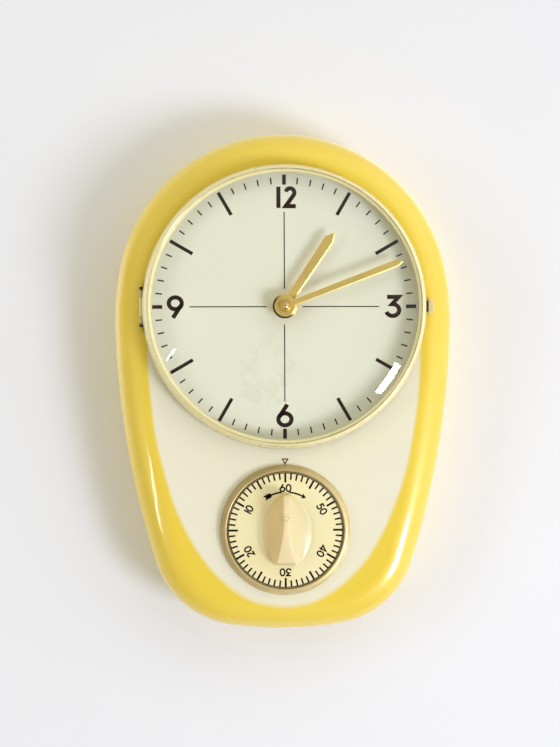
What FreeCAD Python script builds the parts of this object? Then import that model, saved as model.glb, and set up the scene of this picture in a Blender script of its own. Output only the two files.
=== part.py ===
import FreeCAD, Part
import os
from math import acos, cos, degrees, pi, radians, sin, tan
from FreeCAD import Vector

# Ceramic kitchen wall clock with a 60 minute timer below the dial.
# Millimetres. The front faces -Y, +X is to the right and +Z is up.
# The wall plane is y = 0. The origin is the centre of the keyhole's round hole.

# ---------------------------------------------------------------- driving dimensions
CASE_TOP = 22.0
CASE_DEPTH = 42.0
CASE_WALL = 5.0
FRONT_ROUND = 16.0
BACK_ROUND = 1.5
REAR_RIM = 4.0
REAR_OPENING_INSET = 12.0
# Outline from the top down one side, as tangent arcs: radius and angle of turn.
# One more arc, worked out below, closes the outline at the bottom.
CASE_ARCS = [(91.0, 79.5), (150.0, 12.2), (463.6, 16.1), (49.4, 63.5)]

DIAL_Z = -73.0
TIMER_Z = -193.0
DIAL_HOLE_R = 66.0
TIMER_HOLE_R = 28.9

HANGER_WEB_BOTTOM = -20.0
HANGER_HOLE_R = 4.5
HANGER_SLOT_WIDTH = 4.4
HANGER_SLOT_TOP = 9.0
HANGER_PLATE_T = 1.2
HANGER_PLATE = (-20.0, 20.0, -12.0, 14.0)
HANGER_SCREW_X = 14.5
HANGER_SCREW_R = 1.5
HANGER_SCREW_HEAD_R = 2.8
NAIL_CLEARANCE_R = 9.0

# Depths along Y, from the front face of the case.
CASE_FRONT = -CASE_DEPTH
CASE_INNER_FRONT = -(CASE_DEPTH - CASE_WALL)

PAN_R = 75.5
PAN_SKIRT_R = 65.4
PAN_SHEET = 0.8
PAN_FLANGE_FRONT = CASE_FRONT - PAN_SHEET
PAN_FLOOR_BACK = -34.0
PAN_FLOOR_FRONT = PAN_FLOOR_BACK - PAN_SHEET
PAN_OPENING_R = 22.0
DIAL_BORE_R = 3.2
DIAL_R = 72.5
DIAL_SHEET = 0.5
DIAL_FRONT = PAN_FLANGE_FRONT - DIAL_SHEET

BEZEL_R = 76.6
BEZEL_CREST_R = 73.5
BEZEL_LIP_R = 71.3
BEZEL_SEAT_R = 73.3
BEZEL_BACK = -43.0
BEZEL_SEAT_Y = -51.2
BEZEL_CREST_Y = -54.0
CRYSTAL_T = 1.0
CRYSTAL_RIM_R = 73.2
CRYSTAL_DOME_R = 70.9
CRYSTAL_RISE = 6.8
CRYSTAL_POWER = 6

HINGE_X = -76.9
HINGE_Y = -44.3
HINGE_HALF = 10.75
HINGE_KNUCKLE_HALF = 5.0
HINGE_KNUCKLE_R = 1.0
HINGE_PIN_R = 0.5
HINGE_PIN_PLAY = 0.05
HINGE_END_GAP = 0.3
HINGE_NOTCH_R = 1.4
HINGE_NOTCH_X = -75.85
HINGE_WEB_HALF = 0.5
LEAF_INNER_X = -70.0

LUG_INNER_X = 77.6
LUG_OUTER_X = 80.6
LUG_HALF = 4.0
LUG_Y = (-45.4, -43.4)

HOUR_ANGLE = 33.8
MINUTE_ANGLE = 69.1
# Length, half width at the root, half width near the tip, length of the point, hub radius.
HOUR_HAND = (47.6, 2.3, 2.7, 5.0, 6.55)
MINUTE_HAND = (67.7, 1.6, 1.85, 3.0, 5.75)
HOUR_HAND_Y = (-49.1, -48.6)
MINUTE_HAND_Y = (-51.0, -50.5)
NUT_APEX = -54.3

# The machine screws that go through the pan, and their clearance holes
SCREW_R = 1.25
SCREW_HOLE_R = 1.3
SCREW_HEAD_R = 2.5
CLAMP_SCREW_CIRCLE = 58.0
CLAMP_ANGLES = (90.0, 210.0, 330.0)
CLAMP_HALF = 5.0
CLAMP_T = 1.2
CLAMP_REACH = (50.0, 67.2, 72.0)
HOLDER_SCREW_X = 33.0

# Clock movement
FRONT_PLATE_Y = (-34.0, -32.5)
BACK_PLATE_Y = (-16.5, -15.0)
PLATE_HALF = 31.0
PLATE_TOP = 37.0
PLATE_BOTTOM = -31.0
COVER_GAP = 1.0
COVER_T = 1.5
COVER_BACK = -10.5
PILLAR_X = 27.0
PILLAR_ZS = (-27.0, 33.0)
MOUNT_SCREW_X = 18.0

ARBOR_R = 0.9
PIVOT_R = 0.5
RUNNING_PLAY = 0.05
CENTRE_ARBOR_R = 1.0
CANNON_R = 1.7
HOUR_PIPE_R = 2.5

# Both movements use the same train of wheel and pinion pairs.
PINION_TEETH = 12
TRAIN_MODULES = (0.4, 0.35, 0.3)
TRAIN_WHEELS = (72, 60, 60)
CLOCK_TRAIN_ANGLES = (60.0, 130.0, 170.0)
TIMER_TRAIN_ANGLES = (150.0, 60.0, -10.0)
# Depths behind the front plate: each wheel and the pinion it drives.
WHEEL_LAYERS = ((1.3, 2.5), (4.6, 5.6), (7.6, 8.5))
PINION_LAYERS = ((0.6, 3.2), (4.0, 6.3), (7.0, 9.2))
LAST_WHEEL_LAYER = (10.3, 11.1)

# Motion work between the front plate and the dial
MOTION_DISTANCE = 12.0
MOTION_ANGLE = 225.0
CANNON_TEETH = 12
MINUTE_WHEEL_TEETH = 36
CANNON_MODULE = 0.5
HOUR_WHEEL_TEETH = 48
HOUR_MODULE = 0.4

INDEX_R = 8.4
INDEX_TEETH = 24
BALANCE_DISTANCE = 12.4
BALANCE_ANGLE = 240.0
BALANCE_R = 11.0

BATTERY_R = 13.1
BATTERY_HALF = 25.0
BATTERY_Y = -19.0
BATTERY_Z = DIAL_Z - 50.0
HOLDER_T = 1.5
HOLDER_HALF_X = 29.0
HOLDER_HALF_Z = 15.0
HOLDER_BACK = -14.0

# Timer
RING_R = 35.1
RING_INNER_R = 31.5
RING_CREST = -46.5
SKIRT_R = 28.6
SKIRT_T = 0.6
SKIRT_BACK = -35.0
TIMER_DISC_R = 31.0
TIMER_DISC_Y = (-45.2, -43.4)
TIMER_ARBOR_R = 2.0
TIMER_FRONT_PLATE_Y = (-35.0, -33.8)
TIMER_BACK_PLATE_Y = (-16.8, -15.6)
TIMER_PLATE_R = 34.4
TIMER_HOUSING_T = 1.2
TIMER_PILLAR_CIRCLE = 29.0
FIN_TOP = 20.0
FIN_BOTTOM = -18.4
FIN_HALF = 1.6
FIN_FOOT_HALF = 5.5
FIN_HEIGHT = 13.7
ESCAPE_TEETH = 15
ESCAPE_R = 6.0
PALLET_DISTANCE = 9.0
PALLET_ANGLE = 0.0
BELL_R = 22.0
BELL_Y = (-14.0, -4.0)
BELL_T = 1.2
POST_R = 3.0
HAMMER_STUD = (-5.0, -12.0)
HAMMER_HEAD = (-14.1, -9.9)

Y_AXIS = Vector(0, 1, 0)
Z_AXIS = Vector(0, 0, 1)
SMALL = 1e-6


# ---------------------------------------------------------------- helpers
def save(node, shape):
    """Write one node to its STEP file."""
    shape.exportStep("parts/" + node + ".step")


def turned(profile, x, z):
    """A solid turned about the Y line through x, z. The profile is a list of (radius, y)."""
    points = [Vector(x + radius, y, z) for radius, y in profile]
    wire = Part.makePolygon(points + points[:1])
    return Part.Face(wire).revolve(Vector(x, 0, z), Y_AXIS, 360)


def rod(radius, y_front, y_back, x, z):
    """A round bar along Y."""
    return Part.makeCylinder(radius, y_back - y_front, Vector(x, y_front, z), Y_AXIS)


def washer(radius, hole, y_front, y_back, x, z):
    """A round bar along Y with a central hole."""
    return rod(radius, y_front, y_back, x, z).cut(rod(hole, y_front, y_back, x, z))


def block(x0, x1, y0, y1, z0, z1):
    """A box between two corners."""
    return Part.makeBox(x1 - x0, y1 - y0, z1 - z0, Vector(x0, y0, z0))


def prism(points, y_front, y_back):
    """A straight-sided outline of (x, z) points, extruded along Y."""
    corners = [Vector(x, y_front, z) for x, z in points]
    wire = Part.makePolygon(corners + corners[:1])
    return Part.Face(wire).extrude(Vector(0, y_back - y_front, 0))


def polar(radius, angle, x=0.0, z=0.0):
    """The point at a radius and an angle, counterclockwise from +X, about x, z."""
    return x + radius * cos(radians(angle)), z + radius * sin(radians(angle))


def screw(x, z, shank_r, head_r, y_head, y_tip):
    """A slotted screw along Y. Its head starts at y_head and it points to y_tip."""
    inward = 1.0 if y_tip > y_head else -1.0
    head_t = head_r * 0.6
    under_head = y_head + inward * head_t
    head = rod(head_r, min(y_head, under_head), max(y_head, under_head), x, z)
    shank = rod(shank_r, min(under_head, y_tip), max(under_head, y_tip), x, z)
    slot_depth = head_t * 0.5
    slot_end = y_head + inward * slot_depth
    slot = block(x - head_r, x + head_r, min(y_head, slot_end), max(y_head, slot_end),
                 z - head_r * 0.14, z + head_r * 0.14)
    return head.cut(slot).fuse(shank)


# ---------------------------------------------------------------- case
def half_arcs():
    """The outline's arcs down one side, each as (centre x, centre z, radius, start, turn)."""
    arcs = []
    x = 0.0
    z = CASE_TOP
    heading = 0.0
    closing_turn = 180.0 - sum(turn for radius, turn in CASE_ARCS)
    for radius, turn in CASE_ARCS + [(None, closing_turn)]:
        if radius is None:
            radius = x / sin(radians(turn))
        centre_x = x - radius * sin(radians(heading))
        centre_z = z - radius * cos(radians(heading))
        arcs.append((centre_x, centre_z, radius, heading, turn))
        heading += turn
        x = centre_x + radius * sin(radians(heading))
        z = centre_z + radius * cos(radians(heading))
    return arcs


def case_face(inset, y):
    """The case outline, moved inwards by inset, as a face at depth y."""
    right = []
    left = []
    for centre_x, centre_z, radius, start, turn in half_arcs():
        ends = []
        for step in (0.0, 0.5, 1.0):
            angle = radians(start + turn * step)
            px = centre_x + (radius - inset) * sin(angle)
            pz = centre_z + (radius - inset) * cos(angle)
            ends.append((px, pz))
        ends = [(0.0 if abs(px) < 1e-5 else px, pz) for px, pz in ends]
        right.append(Part.Arc(*[Vector(px, y, pz) for px, pz in ends]).toShape())
        left.append(Part.Arc(*[Vector(-px, y, pz) for px, pz in ends]).toShape())
    edges = Part.__sortEdges__(right + left)
    return Part.Face(Part.Wire(edges))


def edges_at(shape, y):
    """The edges that lie in the plane at depth y."""
    return [edge for edge in shape.Edges if abs(edge.BoundBox.YMin - y) < 1e-4 and abs(edge.BoundBox.YMax - y) < 1e-4]


def ceramic_case():
    outer = case_face(0.0, 0.0).extrude(Vector(0, CASE_FRONT, 0))
    outer = outer.makeFillet(FRONT_ROUND, edges_at(outer, CASE_FRONT))
    outer = outer.makeFillet(BACK_ROUND, edges_at(outer, 0.0))
    hollow = case_face(CASE_WALL, -REAR_RIM).extrude(Vector(0, CASE_INNER_FRONT + REAR_RIM, 0))
    hollow = hollow.makeFillet(FRONT_ROUND - CASE_WALL, edges_at(hollow, CASE_INNER_FRONT))
    opening = case_face(REAR_OPENING_INSET, 0.0).extrude(Vector(0, -REAR_RIM, 0))
    web = block(-100, 100, -REAR_RIM, 0, HANGER_WEB_BOTTOM, CASE_TOP)
    case = outer.cut(hollow).cut(opening.cut(web))
    case = case.cut(rod(DIAL_HOLE_R, CASE_FRONT, CASE_INNER_FRONT, 0, DIAL_Z))
    case = case.cut(rod(TIMER_HOLE_R, CASE_FRONT, CASE_INNER_FRONT, 0, TIMER_Z))
    x0, x1, z0, z1 = HANGER_PLATE
    case = case.cut(block(x0, x1, -HANGER_PLATE_T, 0, z0, z1))
    case = case.cut(rod(NAIL_CLEARANCE_R, -REAR_RIM, -HANGER_PLATE_T, 0, 0))
    for side in (-1, 1):
        case = case.cut(rod(HANGER_SCREW_R, -REAR_RIM, -HANGER_PLATE_T, side * HANGER_SCREW_X, 0))
    return case


def hanger_plate():
    x0, x1, z0, z1 = HANGER_PLATE
    plate = block(x0, x1, -HANGER_PLATE_T, 0, z0, z1)
    plate = plate.cut(rod(HANGER_HOLE_R, -HANGER_PLATE_T, 0, 0, 0))
    half = HANGER_SLOT_WIDTH / 2
    plate = plate.cut(block(-half, half, -HANGER_PLATE_T, 0, 0, HANGER_SLOT_TOP))
    plate = plate.cut(rod(half, -HANGER_PLATE_T, 0, 0, HANGER_SLOT_TOP))
    for side in (-1, 1):
        plate = plate.cut(countersunk(side * HANGER_SCREW_X))
    return plate


def countersunk(x):
    """A countersunk screw body, flush with the wall plane."""
    return turned([(0, 0), (HANGER_SCREW_HEAD_R, 0), (HANGER_SCREW_R, -HANGER_PLATE_T),
                   (HANGER_SCREW_R, -REAR_RIM), (0, -REAR_RIM)], x, 0)


def hanger_screws():
    return Part.makeCompound([countersunk(side * HANGER_SCREW_X) for side in (-1, 1)])


# ---------------------------------------------------------------- dial group
def clamp_points():
    return [polar(CLAMP_SCREW_CIRCLE, angle, 0, DIAL_Z) for angle in CLAMP_ANGLES]


def mount_screw_points():
    return [(side * MOUNT_SCREW_X, z) for side in (-1, 1) for z in PILLAR_ZS]


def holder_screw_points():
    return [(side * HOLDER_SCREW_X, BATTERY_Z) for side in (-1, 1)]


def dial_pan():
    pan = turned([(PAN_R, PAN_FLANGE_FRONT), (PAN_R, CASE_FRONT), (PAN_SKIRT_R, CASE_FRONT),
                  (PAN_SKIRT_R, PAN_FLOOR_BACK), (PAN_OPENING_R, PAN_FLOOR_BACK),
                  (PAN_OPENING_R, PAN_FLOOR_FRONT), (PAN_SKIRT_R - PAN_SHEET, PAN_FLOOR_FRONT),
                  (PAN_SKIRT_R - PAN_SHEET, PAN_FLANGE_FRONT)], 0, DIAL_Z)
    notch = block(-PAN_R - 1, LEAF_INNER_X, PAN_FLANGE_FRONT, CASE_FRONT,
                  DIAL_Z - HINGE_HALF, DIAL_Z + HINGE_HALF)
    pan = pan.cut(notch)
    mounts = [(x, DIAL_Z + z) for x, z in mount_screw_points()]
    for x, z in mounts + clamp_points() + holder_screw_points():
        pan = pan.cut(rod(SCREW_HOLE_R, PAN_FLOOR_FRONT, PAN_FLOOR_BACK, x, z))
    return pan


def dial_plate():
    return washer(DIAL_R, DIAL_BORE_R, DIAL_FRONT, PAN_FLANGE_FRONT, 0, DIAL_Z)


def pan_clamps():
    """Three cranked straps that grip the case between themselves and the pan's flange."""
    clamps = []
    inner, foot_inner, outer = CLAMP_REACH
    strap_back = PAN_FLOOR_BACK + CLAMP_T
    for angle in CLAMP_ANGLES:
        strap = block(inner, outer, PAN_FLOOR_BACK, strap_back, -CLAMP_HALF, CLAMP_HALF)
        foot = block(foot_inner, outer, CASE_INNER_FRONT, PAN_FLOOR_BACK, -CLAMP_HALF, CLAMP_HALF)
        clamp = strap.fuse(foot).cut(rod(SCREW_HOLE_R, PAN_FLOOR_BACK, strap_back, CLAMP_SCREW_CIRCLE, 0))
        clamp.rotate(Vector(0, 0, 0), Y_AXIS, -angle)
        clamp.translate(Vector(0, 0, DIAL_Z))
        clamps.append(clamp)
    return Part.makeCompound(clamps)


def pan_clamp_screws():
    head_back = PAN_FLOOR_BACK + CLAMP_T + SCREW_HEAD_R * 0.6
    screws = [screw(x, z, SCREW_R, SCREW_HEAD_R, head_back, PAN_FLOOR_FRONT - 1.0) for x, z in clamp_points()]
    return Part.makeCompound(screws)


def bezel_ring():
    """The rolled ring: steep outer band, a fine groove at the crest, an inward chamfer and the crystal's seat."""
    groove = 0.25
    outer_band = Part.Arc(Vector(BEZEL_R, BEZEL_BACK - 0.5, 0),
                          Vector(75.6, -48.9, 0),
                          Vector(BEZEL_CREST_R + groove, BEZEL_CREST_Y, 0)).toShape()
    inside = [(BEZEL_CREST_R + groove, BEZEL_CREST_Y), (BEZEL_CREST_R, BEZEL_CREST_Y + 0.4),
              (BEZEL_CREST_R - groove, BEZEL_CREST_Y), (BEZEL_LIP_R, BEZEL_SEAT_Y - 0.9),
              (BEZEL_LIP_R, BEZEL_SEAT_Y), (BEZEL_SEAT_R, BEZEL_SEAT_Y), (BEZEL_SEAT_R, -47.5),
              (74.7, -45.6), (74.7, BEZEL_BACK), (BEZEL_R - 0.3, BEZEL_BACK),
              (BEZEL_R, BEZEL_BACK - 0.5)]
    rest = Part.makePolygon([Vector(radius, y, 0) for radius, y in inside])
    wire = Part.Wire([outer_band] + rest.Edges)
    ring = Part.Face(wire).revolve(Vector(0, 0, 0), Y_AXIS, 360)
    ring.translate(Vector(0, 0, DIAL_Z))
    half = HINGE_KNUCKLE_HALF
    notch_length = HINGE_HALF + HINGE_END_GAP - half
    for z in (DIAL_Z - HINGE_HALF - HINGE_END_GAP, DIAL_Z + half):
        notch = Part.makeCylinder(HINGE_NOTCH_R, notch_length, Vector(HINGE_X, HINGE_Y, z), Z_AXIS)
        foot = block(HINGE_X - 2, HINGE_NOTCH_X, HINGE_Y, BEZEL_BACK, z, z + notch_length)
        ring = ring.cut(notch.fuse(foot))
    barrel = Part.makeCylinder(HINGE_KNUCKLE_R, 2 * half, Vector(HINGE_X, HINGE_Y, DIAL_Z - half), Z_AXIS)
    tab = block(HINGE_X, -75.4, HINGE_Y - HINGE_KNUCKLE_R, HINGE_Y + 0.4, DIAL_Z - half, DIAL_Z + half)
    bore = Part.makeCylinder(HINGE_PIN_R + HINGE_PIN_PLAY, 2 * half, Vector(HINGE_X, HINGE_Y, DIAL_Z - half), Z_AXIS)
    return ring.fuse(tab).fuse(barrel).cut(bore)


def bezel_lug():
    """The D-shaped finger lug and the neck that joins it to the ring."""
    front, back = LUG_Y
    half = LUG_HALF
    straight = LUG_INNER_X + 1
    curve = Part.Arc(Vector(straight, front, -half), Vector(LUG_OUTER_X, front, 0),
                     Vector(straight, front, half)).toShape()
    rest = Part.makePolygon([Vector(straight, front, half), Vector(LUG_INNER_X, front, half),
                             Vector(LUG_INNER_X, front, -half), Vector(straight, front, -half)])
    lug = Part.Face(Part.Wire([curve] + rest.Edges)).extrude(Vector(0, back - front, 0))
    neck = block(BEZEL_R + 0.03, LUG_INNER_X + 0.5, back - 0.6, back, -half + 1, half - 1)
    lug = lug.fuse(neck)
    lug.translate(Vector(0, 0, DIAL_Z))
    return lug


def dome_points(radius, y_rim, steps):
    """Points down a flat-topped dome, from its apex to its edge."""
    points = []
    for step in range(steps + 1):
        r = radius * (1 - (1 - step / steps) ** 2)
        y = y_rim - CRYSTAL_RISE * (1 - (r / radius) ** CRYSTAL_POWER)
        points.append(Vector(r, y, 0))
    return points


def crystal():
    """A domed crystal with a flat rim flange."""
    outer = dome_points(CRYSTAL_DOME_R, BEZEL_SEAT_Y, 14)
    inner = dome_points(CRYSTAL_DOME_R - CRYSTAL_T, BEZEL_SEAT_Y + CRYSTAL_T, 14)
    outer_curve = Part.BSplineCurve()
    outer_curve.interpolate(outer)
    inner_curve = Part.BSplineCurve()
    inner_curve.interpolate(inner)
    rim = Part.makePolygon([outer[-1], Vector(CRYSTAL_RIM_R, BEZEL_SEAT_Y, 0),
                            Vector(CRYSTAL_RIM_R, BEZEL_SEAT_Y + CRYSTAL_T, 0), inner[-1]])
    axis = Part.makePolygon([inner[0], outer[0]])
    wire = Part.Wire(Part.__sortEdges__([outer_curve.toShape(), inner_curve.toShape()] + rim.Edges + axis.Edges))
    glass = Part.Face(wire).revolve(Vector(0, 0, 0), Y_AXIS, 360)
    glass.translate(Vector(0, 0, DIAL_Z))
    return glass


def crystal_retainer():
    """A split spring ring that holds the crystal against the lip."""
    front = BEZEL_SEAT_Y + CRYSTAL_T
    ring = washer(BEZEL_SEAT_R - 0.05, BEZEL_SEAT_R - 1.6, front, front + 1.2, 0, DIAL_Z)
    return ring.cut(block(-1, 1, front, front + 1.2, DIAL_Z - 80, DIAL_Z - 60))


def hinge_leaf():
    """The fixed leaf with its two outer barrels."""
    leaf = block(HINGE_X, LEAF_INNER_X, PAN_FLANGE_FRONT, CASE_FRONT, DIAL_Z - HINGE_HALF, DIAL_Z + HINGE_HALF)
    gap_half = HINGE_KNUCKLE_HALF + HINGE_END_GAP
    length = HINGE_HALF - gap_half
    for z in (DIAL_Z - HINGE_HALF, DIAL_Z + gap_half):
        barrel = Part.makeCylinder(HINGE_KNUCKLE_R, length, Vector(HINGE_X, HINGE_Y, z), Z_AXIS)
        bore = Part.makeCylinder(HINGE_PIN_R + HINGE_PIN_PLAY, length, Vector(HINGE_X, HINGE_Y, z), Z_AXIS)
        web = block(HINGE_X - HINGE_WEB_HALF, HINGE_X + HINGE_WEB_HALF, HINGE_Y + 0.8, CASE_FRONT, z, z + length)
        leaf = leaf.fuse(web).fuse(barrel).cut(bore)
    return leaf


def hinge_pin():
    low = DIAL_Z - HINGE_HALF
    return Part.makeCylinder(HINGE_PIN_R, 2 * HINGE_HALF, Vector(HINGE_X, HINGE_Y, low), Z_AXIS)


def bezel_catch():
    """A short leaf spring beside the dial that the bezel closes over."""
    blade = block(73.2, 73.6, -45.4, PAN_FLANGE_FRONT, DIAL_Z - 4, DIAL_Z + 4)
    bead = Part.makeCylinder(0.35, 6.0, Vector(73.65, -44.9, DIAL_Z - 3), Z_AXIS)
    return blade.fuse(bead)


# ---------------------------------------------------------------- hands
def hand(length, root_half, tip_half, point, hub_r, bore_r, depth, angle):
    """A flat hand with straight edges, a slanted point and a round hub, turned clockwise to its angle."""
    y_front, y_back = depth
    blade = prism([(-root_half, 0), (root_half, 0), (tip_half, length - point),
                   (tip_half * 0.2, length), (-tip_half, length - point * 0.8)], y_front, y_back)
    shape = blade.fuse(rod(hub_r, y_front, y_back, 0, 0)).cut(rod(bore_r, y_front, y_back, 0, 0))
    shape.rotate(Vector(0, 0, 0), Y_AXIS, angle)
    shape.translate(Vector(0, 0, DIAL_Z))
    return shape


def hand_nut():
    """A conical nut on the threaded front end of the centre arbor."""
    base = MINUTE_HAND_Y[0]
    return turned([(CENTRE_ARBOR_R + 0.05, base), (3.3, base), (3.3, base - 0.4), (0.5, NUT_APEX + 0.15),
                   (0, NUT_APEX), (0, base - 1.9), (CENTRE_ARBOR_R + 0.05, base - 1.9)], 0, DIAL_Z)


# ---------------------------------------------------------------- gears
PRESSURE_ANGLE = 20.0
ADDENDUM = 0.75
DEDENDUM = 1.0
BACKLASH = 0.3


def involute(angle):
    return tan(angle) - angle


def gear(teeth, module, depth, x, z, phase):
    """A spur gear with involute flanks. One tooth is centred on the angle phase, in degrees."""
    pitch_r = teeth * module / 2
    base_r = pitch_r * cos(radians(PRESSURE_ANGLE))
    root_r = pitch_r - DEDENDUM * module
    tip_r = pitch_r + ADDENDUM * module
    half_at_pitch = (pi * module / 2 - BACKLASH * module) / (2 * pitch_r)
    flank = []
    for radius in (root_r, max(base_r, root_r + 0.02), (base_r + tip_r) / 2, tip_r):
        roll = acos(min(1.0, base_r / radius))
        half = half_at_pitch + involute(radians(PRESSURE_ANGLE)) - involute(roll)
        flank.append((radius, half))
    points = []
    for tooth in range(teeth):
        middle = radians(phase) + 2 * pi * tooth / teeth
        for radius, half in flank:
            points.append(polar(radius, degrees(middle - half), x, z))
        for radius, half in reversed(flank):
            points.append(polar(radius, degrees(middle + half), x, z))
    return prism(points, depth[0], depth[1])


def meshed_phase(teeth, other_teeth, other_phase, direction):
    """The phase that puts a gap of this gear over a tooth of the gear that lies back along direction."""
    lead = other_teeth * (other_phase - direction) / teeth
    return direction + 180.0 - 180.0 / teeth - lead


def lightening_holes(pitch_r, depth, x, z):
    """Five round holes between a wheel's hub and its rim."""
    holes = []
    for number in range(5):
        hx, hz = polar(pitch_r * 0.56, 72.0 * number, x, z)
        holes.append(rod(pitch_r * 0.24, depth[0], depth[1], hx, hz))
    return Part.makeCompound(holes)


def wheel(teeth, module, depth, x, z, phase):
    """A gear wheel with lightening holes."""
    return gear(teeth, module, depth, x, z, phase).cut(lightening_holes(teeth * module / 2, depth, x, z))


def arbor(front_plate, back_plate, x, z):
    """A plain arbor with a thinner pivot in each plate."""
    body = rod(ARBOR_R, front_plate[1] + 0.2, back_plate[0] - 0.2, x, z)
    return body.fuse(rod(PIVOT_R, front_plate[0] + 0.2, back_plate[1] - 0.2, x, z))


def pivot_hole(plate, y_range, x, z):
    return plate.cut(rod(PIVOT_R + RUNNING_PLAY, y_range[0], y_range[1], x, z))


def layer(offsets, front_plate):
    """A pair of depths behind the front plate's rear face."""
    return front_plate[1] + offsets[0], front_plate[1] + offsets[1]


def train_points(angles, z0):
    """The centres of the train's arbors, starting with the first wheel's."""
    points = [(0.0, z0)]
    for stage, angle in enumerate(angles):
        distance = (TRAIN_WHEELS[stage] + PINION_TEETH) * TRAIN_MODULES[stage] / 2
        x, z = points[-1]
        points.append(polar(distance, angle, x, z))
    return points


def train(angles, z0, front_plate, back_plate, first_hole_r):
    """The first wheel, then each driven pinion with its own wheel and arbor, in mesh."""
    points = train_points(angles, z0)
    x, z = points[0]
    depth = layer(WHEEL_LAYERS[0], front_plate)
    first = wheel(TRAIN_WHEELS[0], TRAIN_MODULES[0], depth, x, z, angles[0])
    parts = [first.cut(rod(first_hole_r, depth[0], depth[1], x, z))]
    phase = angles[0]
    for stage, angle in enumerate(angles):
        x, z = points[stage + 1]
        pinion_phase = meshed_phase(PINION_TEETH, TRAIN_WHEELS[stage], phase, angle)
        depth = layer(PINION_LAYERS[stage], front_plate)
        moving = arbor(front_plate, back_plate, x, z)
        moving = moving.fuse(gear(PINION_TEETH, TRAIN_MODULES[stage], depth, x, z, pinion_phase))
        if stage + 1 < len(angles):
            phase = angles[stage + 1]
            depth = layer(WHEEL_LAYERS[stage + 1], front_plate)
            moving = moving.fuse(wheel(TRAIN_WHEELS[stage + 1], TRAIN_MODULES[stage + 1], depth, x, z, phase))
        parts.append(moving)
    return parts


def pointed_wheel(teeth, tip_r, root_r, lean, depth, x, z):
    """A wheel with pointed teeth that lean forward by a share of their pitch."""
    points = []
    for tooth in range(teeth):
        middle = 360.0 * tooth / teeth
        points.append(polar(root_r, middle, x, z))
        points.append(polar(tip_r, middle + 360.0 / teeth * lean, x, z))
        points.append(polar(tip_r, middle + 360.0 / teeth * (lean + 0.08), x, z))
        points.append(polar(root_r, middle + 360.0 / teeth * 0.45, x, z))
    return prism(points, depth[0], depth[1])


def spiral(inner_r, outer_r, turns, thickness, depth, x, z, start):
    """A flat spiral strip of constant thickness."""
    steps = int(turns * 16)
    outside = []
    inside = []
    for step in range(steps + 1):
        angle = start + 360.0 * turns * step / steps
        radius = inner_r + (outer_r - inner_r) * step / steps
        outside.append(polar(radius + thickness / 2, angle, x, z))
        inside.append(polar(radius - thickness / 2, angle, x, z))
    return prism(outside + inside[::-1], depth[0], depth[1])


# ---------------------------------------------------------------- clock movement
CLOCK_POINTS = train_points(CLOCK_TRAIN_ANGLES, DIAL_Z)
INDEX_X, INDEX_Z = CLOCK_POINTS[3]
BALANCE_X, BALANCE_Z = polar(BALANCE_DISTANCE, BALANCE_ANGLE, INDEX_X, INDEX_Z)
STUD_X, STUD_Z = polar(MOTION_DISTANCE, MOTION_ANGLE, 0, DIAL_Z)


def pillar_points():
    return [(side * PILLAR_X, DIAL_Z + z) for side in (-1, 1) for z in PILLAR_ZS]


def movement_plate(depth):
    plate = block(-PLATE_HALF, PLATE_HALF, depth[0], depth[1], DIAL_Z + PLATE_BOTTOM, DIAL_Z + PLATE_TOP)
    corners = [edge for edge in plate.Edges if abs(edge.BoundBox.YLength - (depth[1] - depth[0])) < SMALL]
    plate = plate.makeFillet(5.0, corners)
    plate = plate.cut(rod(CENTRE_ARBOR_R + RUNNING_PLAY, depth[0], depth[1], 0, DIAL_Z))
    for x, z in CLOCK_POINTS[1:] + [(BALANCE_X, BALANCE_Z)]:
        plate = pivot_hole(plate, depth, x, z)
    for x, z in pillar_points():
        plate = plate.cut(rod(1.25, depth[0], depth[1], x, z))
    return plate


def movement_front_plate():
    plate = movement_plate(FRONT_PLATE_Y)
    for x, z in mount_screw_points():
        plate = plate.cut(rod(1.3, FRONT_PLATE_Y[0], FRONT_PLATE_Y[1], x, DIAL_Z + z))
    return plate.cut(rod(0.78, FRONT_PLATE_Y[0], FRONT_PLATE_Y[1], STUD_X, STUD_Z))


def movement_pillars():
    pillars = []
    for x, z in pillar_points():
        post = rod(2.2, FRONT_PLATE_Y[1], BACK_PLATE_Y[0], x, z)
        pillars.append(post.fuse(rod(1.2, FRONT_PLATE_Y[0], BACK_PLATE_Y[1] + 0.8, x, z)))
    return Part.makeCompound(pillars)


def movement_mount_screws():
    screws = []
    for x, z in mount_screw_points():
        screws.append(screw(x, DIAL_Z + z, 1.25, 2.4, PAN_FLOOR_FRONT - 1.44, FRONT_PLATE_Y[1] + 0.8))
    return Part.makeCompound(screws)


def movement_cover():
    inner_x = PLATE_HALF + COVER_GAP
    low = DIAL_Z + PLATE_BOTTOM - COVER_GAP
    high = DIAL_Z + PLATE_TOP + COVER_GAP
    shell = block(-inner_x - COVER_T, inner_x + COVER_T, PAN_FLOOR_BACK, COVER_BACK, low - COVER_T, high + COVER_T)
    rear_edges = [edge for edge in shell.Edges if edge.BoundBox.YMin > COVER_BACK - 0.01]
    shell = shell.makeFillet(1.4, rear_edges)
    shell = shell.cut(block(-inner_x, inner_x, PAN_FLOOR_BACK, COVER_BACK - COVER_T, low, high))
    return shell.cut(rod(4.0, COVER_BACK - COVER_T, COVER_BACK, 0, DIAL_Z))


def centre_arbor():
    tip = MINUTE_HAND_Y[0] - 1.7
    return rod(CENTRE_ARBOR_R, tip, -5.2, 0, DIAL_Z)


def cannon_pinion():
    depth = (-36.4, -34.6)
    pinion = gear(CANNON_TEETH, CANNON_MODULE, depth, 0, DIAL_Z, MOTION_ANGLE)
    tube = rod(CANNON_R, MINUTE_HAND_Y[0], depth[1], 0, DIAL_Z)
    bore = rod(CENTRE_ARBOR_R + 0.03, MINUTE_HAND_Y[0], depth[1], 0, DIAL_Z)
    return pinion.fuse(tube).cut(bore)


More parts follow.
